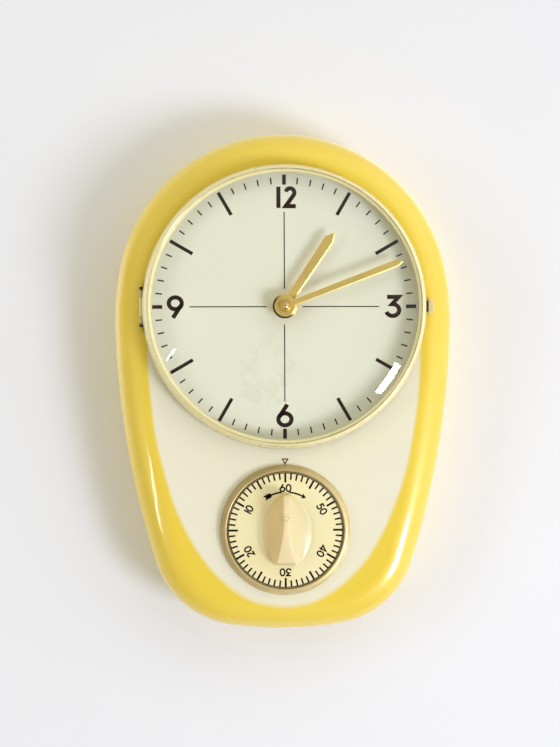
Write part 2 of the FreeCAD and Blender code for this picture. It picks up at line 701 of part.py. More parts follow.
def minute_wheel():
    """The minute wheel and its pinion, which run together on a stud."""
    depth = (-36.2, -35.0)
    phase = meshed_phase(MINUTE_WHEEL_TEETH, CANNON_TEETH, MOTION_ANGLE, MOTION_ANGLE)
    body = wheel(MINUTE_WHEEL_TEETH, CANNON_MODULE, depth, STUD_X, STUD_Z, phase)
    body = body.fuse(gear(PINION_TEETH, HOUR_MODULE, (-39.2, -36.2), STUD_X, STUD_Z, MOTION_ANGLE + 180))
    return body.cut(rod(0.75 + RUNNING_PLAY, -39.2, -35.0, STUD_X, STUD_Z))


def minute_wheel_stud():
    post = rod(0.75, -39.6, FRONT_PLATE_Y[1], STUD_X, STUD_Z)
    shoulder = rod(1.6, -34.7, FRONT_PLATE_Y[0], STUD_X, STUD_Z)
    clip = rod(1.5, -40.1, -39.6, STUD_X, STUD_Z)
    return post.fuse(shoulder).fuse(clip)


def hour_wheel():
    """The hour wheel and the pipe that carries the hour hand."""
    depth = (-38.8, -37.6)
    phase = meshed_phase(HOUR_WHEEL_TEETH, PINION_TEETH, MOTION_ANGLE + 180, MOTION_ANGLE + 180)
    body = wheel(HOUR_WHEEL_TEETH, HOUR_MODULE, depth, 0, DIAL_Z, phase)
    body = body.fuse(rod(HOUR_PIPE_R, HOUR_HAND_Y[0] - 0.3, depth[1], 0, DIAL_Z))
    return body.cut(rod(CANNON_R + RUNNING_PLAY, HOUR_HAND_Y[0] - 0.3, depth[1], 0, DIAL_Z))


def index_wheel(arbor_and_pinion):
    depth = layer(LAST_WHEEL_LAYER, FRONT_PLATE_Y)
    return arbor_and_pinion.fuse(pointed_wheel(INDEX_TEETH, INDEX_R, INDEX_R - 1.6, 0.2, depth, INDEX_X, INDEX_Z))


def balance_wheel():
    """Staff, roller with its drive pin, rim, two spokes and two round magnets."""
    body = arbor(FRONT_PLATE_Y, BACK_PLATE_Y, BALANCE_X, BALANCE_Z)
    body = body.fuse(washer(BALANCE_R, BALANCE_R - 1.5, -20.2, -18.6, BALANCE_X, BALANCE_Z))
    spoke = block(BALANCE_X - BALANCE_R + 1, BALANCE_X + BALANCE_R - 1, -19.8, -19.0,
                  BALANCE_Z - 0.8, BALANCE_Z + 0.8)
    body = body.fuse(spoke).fuse(rod(2.0, -22.8, -21.0, BALANCE_X, BALANCE_Z))
    for side in (-1, 1):
        body = body.fuse(rod(1.7, -20.4, -18.5, BALANCE_X + side * (BALANCE_R - 3.2), BALANCE_Z))
    return body


def hairspring():
    return spiral(2.0, 6.5, 5, 0.15, (-26.0, -25.2), BALANCE_X, BALANCE_Z, 90)


def drive_coil():
    """A flat wound coil on the back plate, beside the balance's magnets."""
    x, z = polar(BALANCE_R - 3.2, 270, BALANCE_X, BALANCE_Z)
    return washer(3.6, 1.2, -17.9, BACK_PLATE_Y[0], x, z)


def circuit_board():
    """A small board on the back plate with a transistor and two capacitors."""
    face = BACK_PLATE_Y[1]
    board = block(-26, -8, face, face + 0.9, DIAL_Z + 2, DIAL_Z + 26)
    board = board.fuse(rod(2.3, face + 0.9, face + 2.4, -21, DIAL_Z + 20))
    board = board.fuse(block(-15, -11, face + 0.9, face + 2.2, DIAL_Z + 6, DIAL_Z + 14))
    return board.fuse(rod(1.6, face + 0.9, face + 2.4, -20, DIAL_Z + 8))


def setting_knob():
    """A fluted knob on the rear end of the centre arbor."""
    knob = rod(7.0, -9.5, -5.0, 0, DIAL_Z)
    flutes = []
    for number in range(18):
        x, z = polar(7.3, 20.0 * number, 0, DIAL_Z)
        flutes.append(rod(0.7, -9.5, -5.0, x, z))
    return knob.cut(Part.makeCompound(flutes)).cut(rod(CENTRE_ARBOR_R + 0.03, -9.5, -5.2, 0, DIAL_Z))


# ---------------------------------------------------------------- battery
def battery_holder():
    low = BATTERY_Z - HOLDER_HALF_Z
    high = BATTERY_Z + HOLDER_HALF_Z
    tray = block(-HOLDER_HALF_X, HOLDER_HALF_X, PAN_FLOOR_BACK, HOLDER_BACK, low, high)
    tray = tray.cut(block(-HOLDER_HALF_X + HOLDER_T, HOLDER_HALF_X - HOLDER_T, PAN_FLOOR_BACK + HOLDER_T,
                          HOLDER_BACK, low + HOLDER_T, high - HOLDER_T))
    notch_half = 12.0
    tray = tray.cut(block(-notch_half, notch_half, HOLDER_BACK - 9, HOLDER_BACK, low, high))
    for side in (-1, 1):
        ear = block(min(side * 29, side * 37), max(side * 29, side * 37), PAN_FLOOR_BACK,
                    PAN_FLOOR_BACK + HOLDER_T, BATTERY_Z - 5, BATTERY_Z + 5)
        tray = tray.fuse(ear)
    for x, z in holder_screw_points():
        tray = tray.cut(rod(1.3, PAN_FLOOR_BACK, PAN_FLOOR_BACK + HOLDER_T, x, z))
    return tray


def holder_screws():
    screws = []
    for x, z in holder_screw_points():
        screws.append(screw(x, z, 1.25, 2.5, PAN_FLOOR_BACK + HOLDER_T + 1.5, PAN_FLOOR_FRONT - 1.0))
    return Part.makeCompound(screws)


def battery():
    """A C cell lying across the case, with its raised terminal to the right."""
    can = Part.makeCylinder(BATTERY_R, 2 * BATTERY_HALF - 1.5, Vector(-BATTERY_HALF, BATTERY_Y, BATTERY_Z),
                            Vector(1, 0, 0))
    ends = [edge for edge in can.Edges if edge.BoundBox.XLength < SMALL]
    can = can.makeFillet(0.8, ends)
    button = Part.makeCylinder(3.2, 1.6, Vector(BATTERY_HALF - 1.6, BATTERY_Y, BATTERY_Z), Vector(1, 0, 0))
    return can.fuse(button)


def battery_contacts():
    """Two sprung contact plates with a pressed dimple."""
    contacts = []
    inner = HOLDER_HALF_X - HOLDER_T
    for side in (-1, 1):
        plate = block(min(side * (inner - 0.4), side * inner), max(side * (inner - 0.4), side * inner),
                      -28, HOLDER_BACK - 1, BATTERY_Z - 5, BATTERY_Z + 5)
        reach = inner - 0.4 - BATTERY_HALF - 0.3
        dimple = Part.makeCone(3.4, 2.0, reach, Vector(side * (inner - 0.4), BATTERY_Y, BATTERY_Z),
                               Vector(-side, 0, 0))
        contacts.append(plate.fuse(dimple))
    return Part.makeCompound(contacts)


# ---------------------------------------------------------------- timer
TIMER_POINTS = train_points(TIMER_TRAIN_ANGLES, TIMER_Z)
ESCAPE_X, ESCAPE_Z = TIMER_POINTS[3]
PALLET_X, PALLET_Z = polar(PALLET_DISTANCE, PALLET_ANGLE, ESCAPE_X, ESCAPE_Z)
TIMER_SCREW_CIRCLE = 20.0
TIMER_SCREW_ANGLES = (30.0, 200.0, 290.0)


def timer_screw_points():
    return [polar(TIMER_SCREW_CIRCLE, angle, 0, TIMER_Z) for angle in TIMER_SCREW_ANGLES]


def timer_ring():
    """The brass ring, its threaded skirt through the case and the floor that carries the movement."""
    floor_front = SKIRT_BACK - 0.8
    crest = Part.Arc(Vector(RING_R, -43.4, 0), Vector(34.4, -45.6, 0), Vector(33.3, RING_CREST, 0)).toShape()
    points = [(33.3, RING_CREST), (RING_INNER_R + 0.3, -45.9), (RING_INNER_R, -45.3), (RING_INNER_R, -42.7),
              (SKIRT_R - SKIRT_T, -42.7), (SKIRT_R - SKIRT_T, floor_front), (7.0, floor_front),
              (7.0, SKIRT_BACK), (SKIRT_R, SKIRT_BACK), (SKIRT_R, CASE_FRONT), (RING_R, CASE_FRONT),
              (RING_R, -43.4)]
    rest = Part.makePolygon([Vector(radius, y, 0) for radius, y in points])
    ring = Part.Face(Part.Wire([crest] + rest.Edges)).revolve(Vector(0, 0, 0), Y_AXIS, 360)
    ring.translate(Vector(0, 0, TIMER_Z))
    for x, z in timer_screw_points():
        ring = ring.cut(rod(1.05, floor_front, SKIRT_BACK, x, z))
    return ring


def timer_ring_nut():
    nut = washer(33.5, SKIRT_R + 0.05, CASE_INNER_FRONT, SKIRT_BACK - 0.1, 0, TIMER_Z)
    for angle in (0.0, 90.0, 180.0, 270.0):
        x, z = polar(33.5, angle, 0, TIMER_Z)
        nut = nut.cut(rod(1.8, CASE_INNER_FRONT, SKIRT_BACK - 0.1, x, z))
    return nut


def fin():
    """The finger fin: narrow above the centre, flared to a concave foot, highest above the centre."""
    root_y = TIMER_DISC_Y[0] + 0.6
    top_y = TIMER_DISC_Y[0] - FIN_HEIGHT
    waist = 1.0

    def at(x, z):
        return Vector(x, root_y, TIMER_Z + z)

    right = Part.Arc(at(FIN_HALF, waist), at(2.5, -8.5), at(FIN_FOOT_HALF, FIN_BOTTOM)).toShape()
    foot = Part.Arc(at(FIN_FOOT_HALF, FIN_BOTTOM), at(0, FIN_BOTTOM + 1.6), at(-FIN_FOOT_HALF, FIN_BOTTOM)).toShape()
    left = Part.Arc(at(-FIN_FOOT_HALF, FIN_BOTTOM), at(-2.5, -8.5), at(-FIN_HALF, waist)).toShape()
    top = Part.makePolygon([at(-FIN_HALF, waist), at(-FIN_HALF, FIN_TOP), at(FIN_HALF, FIN_TOP), at(FIN_HALF, waist)])
    plan = Part.Face(Part.Wire([right, foot, left] + top.Edges)).extrude(Vector(0, -20, 0))

    def side(y, z):
        return Vector(-10, y, TIMER_Z + z)

    back = Part.Arc(side(-52.0, FIN_BOTTOM - 1), side(-56.9, -4), side(top_y, 8)).toShape()
    nose = Part.Arc(side(top_y, 8), side(-58.3, 15), side(-55.6, FIN_TOP + 1)).toShape()
    base = Part.makePolygon([side(-55.6, FIN_TOP + 1), side(root_y, FIN_TOP + 1), side(root_y, FIN_BOTTOM - 1),
                             side(-52.0, FIN_BOTTOM - 1)])
    profile = Part.Face(Part.Wire([back, nose] + base.Edges)).extrude(Vector(20, 0, 0))
    return plan.common(profile)


def timer_dial_knob():
    """The timer's dial disc with the finger fin and a socket for the arbor, moulded in one."""
    disc = rod(TIMER_DISC_R, TIMER_DISC_Y[0], TIMER_DISC_Y[1], 0, TIMER_Z)
    hub = rod(5.0, TIMER_DISC_Y[1], -40.5, 0, TIMER_Z)
    socket = rod(TIMER_ARBOR_R + 0.03, -47.5, -40.5, 0, TIMER_Z)
    return disc.fuse(hub).fuse(fin()).fuse(rod(3.6, -49.0, TIMER_DISC_Y[0] + 0.5, 0, TIMER_Z)).cut(socket)


def timer_arbor():
    body = rod(TIMER_ARBOR_R, -47.3, TIMER_BACK_PLATE_Y[0] - 0.2, 0, TIMER_Z)
    return body.fuse(rod(1.0, TIMER_BACK_PLATE_Y[0] - 0.3, TIMER_BACK_PLATE_Y[1] - 0.3, 0, TIMER_Z))


def timer_plate(depth):
    plate = rod(TIMER_PLATE_R, depth[0], depth[1], 0, TIMER_Z)
    for x, z in TIMER_POINTS[1:] + [(PALLET_X, PALLET_Z)]:
        plate = pivot_hole(plate, depth, x, z)
    for x, z in timer_pillar_points():
        plate = plate.cut(rod(1.25, depth[0], depth[1], x, z))
    return plate


def timer_pillar_points():
    return [polar(TIMER_PILLAR_CIRCLE, angle, 0, TIMER_Z) for angle in (90.0, 210.0, 330.0)]


def timer_front_plate():
    plate = timer_plate(TIMER_FRONT_PLATE_Y)
    plate = plate.cut(rod(TIMER_ARBOR_R + RUNNING_PLAY, TIMER_FRONT_PLATE_Y[0], TIMER_FRONT_PLATE_Y[1], 0, TIMER_Z))
    for x, z in timer_screw_points():
        plate = plate.cut(rod(1.05, TIMER_FRONT_PLATE_Y[0], TIMER_FRONT_PLATE_Y[1], x, z))
    return plate


def timer_back_plate():
    """The back plate with the bell's post and the hammer's stud riveted in."""
    front, back = TIMER_BACK_PLATE_Y
    plate = timer_plate(TIMER_BACK_PLATE_Y)
    plate = plate.cut(rod(1.0 + RUNNING_PLAY, front, back - 0.2, 0, TIMER_Z))
    plate = plate.fuse(rod(POST_R, back, BELL_Y[1] - BELL_T, 0, TIMER_Z))
    plate = plate.cut(rod(1.45, BELL_Y[1] - BELL_T - 5, BELL_Y[1] - BELL_T, 0, TIMER_Z))
    return plate.fuse(rod(1.2, back, -10.8, HAMMER_STUD[0], TIMER_Z + HAMMER_STUD[1]))


def timer_pillars():
    pillars = []
    for x, z in timer_pillar_points():
        post = rod(2.2, TIMER_FRONT_PLATE_Y[1], TIMER_BACK_PLATE_Y[0], x, z)
        pillars.append(post.fuse(rod(1.2, TIMER_FRONT_PLATE_Y[0], TIMER_BACK_PLATE_Y[1], x, z)))
    return Part.makeCompound(pillars)


def timer_plate_screws():
    screws = []
    for x, z in timer_screw_points():
        screws.append(screw(x, z, 1.0, 1.9, SKIRT_BACK - 0.8 - 1.14, TIMER_FRONT_PLATE_Y[1]))
    return Part.makeCompound(screws)


def timer_housing():
    front = TIMER_FRONT_PLATE_Y[1]
    return washer(TIMER_PLATE_R, TIMER_PLATE_R - TIMER_HOUSING_T, front, TIMER_BACK_PLATE_Y[0], 0, TIMER_Z)


def timer_mainspring():
    return spiral(3.2, 10.3, 7, 0.35, (-21.8, -17.4), 0, TIMER_Z, 0)


def timer_release_cam():
    """A snail cam on the timer's arbor that lets the hammer go at zero."""
    front = TIMER_FRONT_PLATE_Y[1] + 3.3
    points = []
    for step in range(25):
        points.append(polar(3.2 + 1.8 * step / 24, 90.0 + 15.0 * step, 0, TIMER_Z))
    cam = prism(points[:-1], front, front + 1.0)
    return cam.cut(rod(TIMER_ARBOR_R + 0.03, front, front + 1.0, 0, TIMER_Z))


def timer_escape_wheel(arbor_and_pinion):
    depth = layer(LAST_WHEEL_LAYER, TIMER_FRONT_PLATE_Y)
    return arbor_and_pinion.fuse(pointed_wheel(ESCAPE_TEETH, ESCAPE_R, ESCAPE_R - 1.7, 0.0, depth, ESCAPE_X, ESCAPE_Z))


def timer_pallet():
    """An anchor with two arms whose ends stand beside the escape wheel's teeth."""
    depth = layer(LAST_WHEEL_LAYER, TIMER_FRONT_PLATE_Y)
    body = arbor(TIMER_FRONT_PLATE_Y, TIMER_BACK_PLATE_Y, PALLET_X, PALLET_Z)
    body = body.fuse(rod(1.7, depth[0], depth[1], PALLET_X, PALLET_Z))
    towards = PALLET_ANGLE + 180.0
    for side in (-1, 1):
        elbow = polar(6.4, towards + side * 62.0, PALLET_X, PALLET_Z)
        wide = polar(6.6, towards + side * 50.0, PALLET_X, PALLET_Z)
        near = polar(1.2, towards + side * 150.0, PALLET_X, PALLET_Z)
        other = polar(1.2, towards + side * 10.0, PALLET_X, PALLET_Z)
        body = body.fuse(prism([near, elbow, wide, other], depth[0], depth[1]))
    return body


def alarm_hammer():
    """The hammer on its stud inside the bell."""
    y_front = -13.4
    y_back = -11.4
    x, z = HAMMER_STUD[0], TIMER_Z + HAMMER_STUD[1]
    head_x, head_z = HAMMER_HEAD[0], TIMER_Z + HAMMER_HEAD[1]
    boss = rod(2.6, y_front, y_back, x, z)
    arm = prism([(x, z - 0.9), (x, z + 0.9), (head_x, head_z + 0.7), (head_x, head_z - 0.7)], -12.9, -11.9)
    head = rod(1.8, -13.4, -10.4, head_x, head_z)
    return boss.fuse(arm).fuse(head).cut(rod(1.2 + RUNNING_PLAY, y_front, y_back, x, z))


def alarm_bell():
    """A shallow round bell, open towards the movement."""
    front, back = BELL_Y
    cup = rod(BELL_R, front, back, 0, TIMER_Z)
    cup = cup.makeFillet(4.0, edges_at(cup, back))
    inside = rod(BELL_R - BELL_T, front, back - BELL_T, 0, TIMER_Z)
    inside = inside.makeFillet(4.0 - BELL_T, edges_at(inside, back - BELL_T))
    return cup.cut(inside).cut(rod(1.6, back - BELL_T, back, 0, TIMER_Z))


def bell_screw():
    back = BELL_Y[1]
    return screw(0, TIMER_Z, 1.4, 2.6, back + 1.56, back - BELL_T - 4.5)


# ---------------------------------------------------------------- all nodes
def nodes():
    clock = train(CLOCK_TRAIN_ANGLES, DIAL_Z, FRONT_PLATE_Y, BACK_PLATE_Y, CENTRE_ARBOR_R + 0.03)
    timer = train(TIMER_TRAIN_ANGLES, TIMER_Z, TIMER_FRONT_PLATE_Y, TIMER_BACK_PLATE_Y, TIMER_ARBOR_R + 0.03)
    return {
        "ceramic_case": ceramic_case(),
        "hanger_plate": hanger_plate(),
        "hanger_screws": hanger_screws(),
        "dial_pan": dial_pan(),
        "dial_plate": dial_plate(),
        "pan_clamps": pan_clamps(),
        "pan_clamp_screws": pan_clamp_screws(),
        "bezel_ring": bezel_ring(),
        "bezel_lug": bezel_lug(),
        "crystal": crystal(),
        "crystal_retainer": crystal_retainer(),
        "hinge_leaf": hinge_leaf(),
        "hinge_pin": hinge_pin(),
        "bezel_catch": bezel_catch(),
        "hour_hand": hand(*HOUR_HAND, HOUR_PIPE_R + 0.03, HOUR_HAND_Y, HOUR_ANGLE),
        "minute_hand": hand(*MINUTE_HAND, CANNON_R + 0.03, MINUTE_HAND_Y, MINUTE_ANGLE),
        "hand_nut": hand_nut(),
        "movement_front_plate": movement_front_plate(),
        "movement_back_plate": movement_plate(BACK_PLATE_Y),
        "movement_pillars": movement_pillars(),
        "movement_mount_screws": movement_mount_screws(),
        "movement_cover": movement_cover(),
        "centre_arbor": centre_arbor(),
        "cannon_pinion": cannon_pinion(),
        "minute_wheel": minute_wheel(),
        "minute_wheel_stud": minute_wheel_stud(),
        "hour_wheel": hour_wheel(),
        "centre_wheel": clock[0],
        "third_wheel": clock[1],
        "fourth_wheel": clock[2],
        "index_wheel": index_wheel(clock[3]),
        "balance_wheel": balance_wheel(),
        "hairspring": hairspring(),
        "drive_coil": drive_coil(),
        "circuit_board": circuit_board(),
        "setting_knob": setting_knob(),
        "battery_holder": battery_holder(),
        "holder_screws": holder_screws(),
        "battery": battery(),
        "battery_contacts": battery_contacts(),
        "timer_ring": timer_ring(),
        "timer_ring_nut": timer_ring_nut(),
        "timer_dial_knob": timer_dial_knob(),
        "timer_arbor": timer_arbor(),
        "timer_front_plate": timer_front_plate(),
        "timer_back_plate": timer_back_plate(),
        "timer_pillars": timer_pillars(),
        "timer_plate_screws": timer_plate_screws(),
        "timer_housing": timer_housing(),
        "timer_mainspring": timer_mainspring(),
        "timer_great_wheel": timer[0],
        "timer_second_wheel": timer[1],
        "timer_third_wheel": timer[2],
        "timer_escape_wheel": timer_escape_wheel(timer[3]),
        "timer_pallet": timer_pallet(),
        "timer_release_cam": timer_release_cam(),
        "alarm_hammer": alarm_hammer(),
        "alarm_bell": alarm_bell(),
        "bell_screw": bell_screw(),
    }


os.makedirs("parts", exist_ok=True)
for node, shape in nodes().items():
    save(node, shape)
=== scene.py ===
import bmesh
import bpy
from math import atan2, cos, pi, radians, sin
from mathutils import Matrix, Vector


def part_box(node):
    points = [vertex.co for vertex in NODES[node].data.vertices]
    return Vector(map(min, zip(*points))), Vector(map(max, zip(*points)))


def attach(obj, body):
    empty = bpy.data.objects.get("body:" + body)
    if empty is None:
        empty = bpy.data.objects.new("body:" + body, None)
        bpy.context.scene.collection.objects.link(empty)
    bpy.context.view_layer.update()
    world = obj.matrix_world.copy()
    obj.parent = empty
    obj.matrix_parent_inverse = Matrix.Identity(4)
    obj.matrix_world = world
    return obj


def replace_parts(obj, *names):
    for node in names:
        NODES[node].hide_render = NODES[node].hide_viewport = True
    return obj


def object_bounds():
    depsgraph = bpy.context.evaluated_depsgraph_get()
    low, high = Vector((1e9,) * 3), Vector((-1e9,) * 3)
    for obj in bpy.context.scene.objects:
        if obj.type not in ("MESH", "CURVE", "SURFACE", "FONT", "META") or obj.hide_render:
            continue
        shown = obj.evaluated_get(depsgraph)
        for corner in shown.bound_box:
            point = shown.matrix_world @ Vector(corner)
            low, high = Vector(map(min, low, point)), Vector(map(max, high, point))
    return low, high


# Ceramic kitchen wall clock with a 60 minute timer: the looks, built round the CAD frame.
# Sizes are in millimetres until a mesh is written, which is in metres.
MM = 0.001

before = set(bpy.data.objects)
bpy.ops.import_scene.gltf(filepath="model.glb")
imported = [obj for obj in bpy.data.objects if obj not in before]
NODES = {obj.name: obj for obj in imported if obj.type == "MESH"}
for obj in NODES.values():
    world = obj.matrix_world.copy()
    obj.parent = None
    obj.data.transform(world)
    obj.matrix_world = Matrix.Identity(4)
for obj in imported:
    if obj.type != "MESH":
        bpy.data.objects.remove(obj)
CAD_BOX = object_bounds()


def mm_box(node):
    low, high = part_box(node)
    return [value / MM for value in low], [value / MM for value in high]


# --- sizes, from the frame where it has them
PLATE_LOW, PLATE_HIGH = mm_box("dial_plate")
DIAL_Z = (PLATE_LOW[2] + PLATE_HIGH[2]) / 2
DIAL_FRONT = PLATE_LOW[1]
KNOB_LOW, KNOB_HIGH = mm_box("timer_dial_knob")
TIMER_Z = (KNOB_LOW[2] + KNOB_HIGH[2]) / 2
DISC_R = (KNOB_HIGH[0] - KNOB_LOW[0]) / 2
CASE_LOW, CASE_HIGH = mm_box("ceramic_case")
CASE_TOP = CASE_HIGH[2]
CASE_FRONT = CASE_LOW[1]
CASE_DEPTH = -CASE_FRONT
GLAZED, BARE = 0, 1
RING_TURNS = 240

CASE_WALL = 5.0
FRONT_ROUND = 16.0
BACK_ROUND = 1.5
REAR_RIM = 4.0
REAR_OPENING_INSET = 12.0
CASE_ARCS = [(91.0, 79.5), (150.0, 12.2), (463.6, 16.1), (49.4, 63.5)]
DIAL_HOLE_R = 66.0
TIMER_HOLE_R = 28.9
HANGER_WEB_BOTTOM = -20.0
WEB_STEPS = 14
HANGER_PLATE = (-20.0, 20.0, -12.0, 14.0)
HANGER_PLATE_T = 1.2
NAIL_CLEARANCE_R = 9.0

BEZEL_R = 76.6
BEZEL_BACK_Y = -43.0
CREST_R = 73.1
CREST_Y = -54.0
LIP_R = 71.3
CRYSTAL_SEAT_Y = -51.2
CRYSTAL_T = 1.0
CRYSTAL_RIM_R = 73.2
CRYSTAL_DOME_R = 70.9
CRYSTAL_RISE = 6.8
CRYSTAL_POWER = 6

HINGE_X = -76.9
HINGE_Y = -44.3
HINGE_KNUCKLE_HALF = 5.0
HINGE_KNUCKLE_R = 1.0

HOUR_HUB_R = 6.55
MINUTE_HUB_R = 5.75
# Hands: length, half width at the root and at the tip, length of the point, hub radius.
HOUR_HAND = (47.6, 2.3, 2.7, 5.0, HOUR_HUB_R)
MINUTE_HAND = (67.7, 1.6, 1.85, 3.0, MINUTE_HUB_R)
HUB_STEPS = 60
HOUR_ANGLE = 33.8
MINUTE_ANGLE = 69.1
HOUR_HAND_Y = (-49.1, -48.6)
MINUTE_HAND_Y = (-51.0, -50.5)

# Minute marks: one every so many minutes, inner and outer radius, width. The first that fits is drawn.
DIAL_MARKS = ((15, 65.6, 71.0, 2.0), (5, 56.9, 70.8, 1.85), (1, 66.1, 69.6, 0.76))
SCALE_MARKS = ((5, 25.6, 30.6, 1.1), (1, 27.1, 30.6, 0.9))
# Hour numbers: text, place from the centre, height.
HOUR_NUMBERS = (("12", 1.3, 58.8, 11.5), ("3", 58.6, 0.0, 12.0), ("6", 0.0, -58.6, 12.0), ("9", -58.6, 0.0, 11.8))
PRINT_Y = (DIAL_FRONT - 0.04, DIAL_FRONT)

TIMER_RING_R = 35.1
TIMER_RING_INNER_R = 31.5
TIMER_RING_FRONT_Y = -46.45
TIMER_FLOOR_Y = -35.8
DISC_Y = (-45.2, -43.4)
SCALE_Y = (DISC_Y[0] - 0.035, DISC_Y[0] + 0.01)
ARROW_R = 20.4
ZERO_MARK_Z = -156.2

FIN_TOP = 20.0
FIN_BOTTOM = -18.9
FIN_APEX_Z = 8.0
FIN_APEX_Y = -58.85
FIN_HALF = 1.6
FIN_FOOT_HALF = 5.5
FIN_SPREAD = 13.0
FIN_EDGE = 0.35
FIN_SCOOP = 1.9
FIN_END_SLOPE = 2.2
FIN_TOP_SLOPE = 0.8
FIN_STATIONS = 72
FIN_ACROSS = 24


# --- mesh helpers
def new_piece(name, mesh_builder, material, body, sharp=35.0):
    """A mesh piece in the row frame, smooth except at its sharp edges, riding on a body."""
    bm = bmesh.new()
    mesh_builder(bm)
    bmesh.ops.remove_doubles(bm, verts=bm.verts, dist=1e-4)
    bmesh.ops.recalc_face_normals(bm, faces=bm.faces)
    bmesh.ops.scale(bm, vec=(MM, MM, MM), verts=bm.verts)
    mesh = bpy.data.meshes.new(name)
    bm.to_mesh(mesh)
    bm.free()
    mesh.shade_smooth()
    mesh.set_sharp_from_angle(angle=radians(sharp))
    materials = material if isinstance(material, (list, tuple)) else [material]
    for entry in materials:
        mesh.materials.append(entry)
    piece = bpy.data.objects.new(name, mesh)
    bpy.context.scene.collection.objects.link(piece)
    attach(piece, body)
    return piece


def quad_strip(bm, ring_a, ring_b, closed=True, slot=0):
    """Joins two rows of vertices with quads."""
    count = len(ring_a)
    for index in range(count if closed else count - 1):
        following = (index + 1) % count
        face = bm.faces.new((ring_a[index], ring_a[following], ring_b[following], ring_b[index]))
        face.material_index = slot


def placed(name, data):
    """An object of the data, in the scene."""
    made = bpy.data.objects.new(name, data)
    bpy.context.scene.collection.objects.link(made)
    return made


def quad_strips(bm, rows, slot=0):
    for one, two in zip(rows, rows[1:]):
        quad_strip(bm, one, two, slot=slot)


def loop_edges(bm, ring):
    edges = []
    for index, vert in enumerate(ring):
        other = ring[(index + 1) % len(ring)]
        edges.append(bm.edges.get((vert, other)) or bm.edges.new((vert, other)))
    return edges


def fill(bm, rings, slot=0):
    """A flat face between an outline and its holes, all at one depth."""
    edges = []
    for ring in rings:
        edges += loop_edges(bm, ring)
    made = bmesh.ops.triangle_fill(bm, edges=edges, use_beauty=True, use_dissolve=False, normal=(0, -1, 0))
    for item in made["geom"]:
        if isinstance(item, bmesh.types.BMFace):
            item.material_index = slot


def circle(radius, x=0.0, z=0.0, count=96):
    return [(x + radius * cos(2 * pi * k / count), z + radius * sin(2 * pi * k / count)) for k in range(count)]


def ring_at(bm, points, y):
    return [bm.verts.new((x, y, z)) for x, z in points]


def signed_area(points):
    total = 0.0
    for index, (x, z) in enumerate(points):
        nx, nz = points[(index + 1) % len(points)]
        total += x * nz - nx * z
    return total / 2


def offset_loop(points, distance):
    """The counterclockwise outline moved inwards by distance, with mitred corners."""
    count = len(points)
    moved = []
    for index in range(count):
        px, pz = points[index - 1]
        x, z = points[index]
        nx, nz = points[(index + 1) % count]
        a = Vector((x - px, z - pz)).normalized()
        b = Vector((nx - x, nz - z)).normalized()
        normal_a = Vector((-a.y, a.x))
        normal_b = Vector((-b.y, b.x))
        middle = (normal_a + normal_b).normalized()
        reach = distance / max(0.35, middle.dot(normal_a))
        moved.append((x + middle.x * reach, z + middle.y * reach))
    return moved


def add_plate(bm, outline, y_front, y_back, bevel=0.0, holes=(), slot=0, front_drop=None):
    """A flat plate with softened edges, or with a wide bevel in front that drops by front_drop."""
    fronts = []
    backs = []
    for shape, inwards in [(outline, 1.0)] + [(hole, -1.0) for hole in holes]:
        if signed_area(shape) < 0:
            shape = shape[::-1]
        narrow = offset_loop(shape, bevel * inwards) if bevel else shape
        if front_drop:
            levels = [(narrow, y_front), (shape, y_front + front_drop), (shape, y_back)]
        elif bevel:
            levels = [(narrow, y_front), (shape, y_front + bevel), (shape, y_back - bevel), (narrow, y_back)]
        else:
            levels = [(shape, y_front), (shape, y_back)]
        rows = [ring_at(bm, points, y) for points, y in levels]
        quad_strips(bm, rows, slot)
        fronts.append(rows[0])
        backs.append(rows[-1])
    fill(bm, fronts, slot)
    fill(bm, backs, slot)


def add_stroke(bm, points, width, y_front, y_back, closed=False, slot=0):
    """A printed line of constant width along a path of (x, z) points."""
    half = width / 2
    count = len(points)
    rows = []
    for index, (x, z) in enumerate(points):
        before = points[index - 1] if index > 0 or closed else None
        after = points[(index + 1) % count] if index < count - 1 or closed else None
        a = Vector((x - before[0], z - before[1])).normalized() if before else None
        b = Vector((after[0] - x, after[1] - z)).normalized() if after else None
        a = a or b
        b = b or a
        normal_a = Vector((-a.y, a.x))
        middle = (normal_a + Vector((-b.y, b.x))).normalized()
        reach = half / max(0.4, middle.dot(normal_a))
        left = (x + middle.x * reach, z + middle.y * reach)
        right = (x - middle.x * reach, z - middle.y * reach)
        rows.append([bm.verts.new((px, y, pz)) for (px, pz), y in
                     ((left, y_front), (right, y_front), (right, y_back), (left, y_back))])
    for index in range(count if closed else count - 1):
        quad_strip(bm, rows[index], rows[(index + 1) % count], slot=slot)
    if not closed:
        bm.faces.new(rows[0]).material_index = slot
        bm.faces.new(rows[-1]).material_index = slot


def add_turned(bm, profile, x, z, turns=RING_TURNS, slot=0):
    """A body turned about the Y line through x, z, from a closed profile of (radius, y)."""
    rows = [ring_at(bm, circle(radius, x, z, turns) if radius > 1e-6 else [(x, z)], y) for radius, y in profile]
    for index, row in enumerate(rows):
        other = rows[(index + 1) % len(rows)]
        if len(row) == 1 and len(other) == 1:
            continue
        if len(row) == 1 or len(other) == 1:
            tip, rim = (row, other) if len(row) == 1 else (other, row)
            for k in range(turns):
                bm.faces.new((tip[0], rim[k], rim[(k + 1) % turns])).material_index = slot
        else:
            quad_strip(bm, row, other, slot=slot)


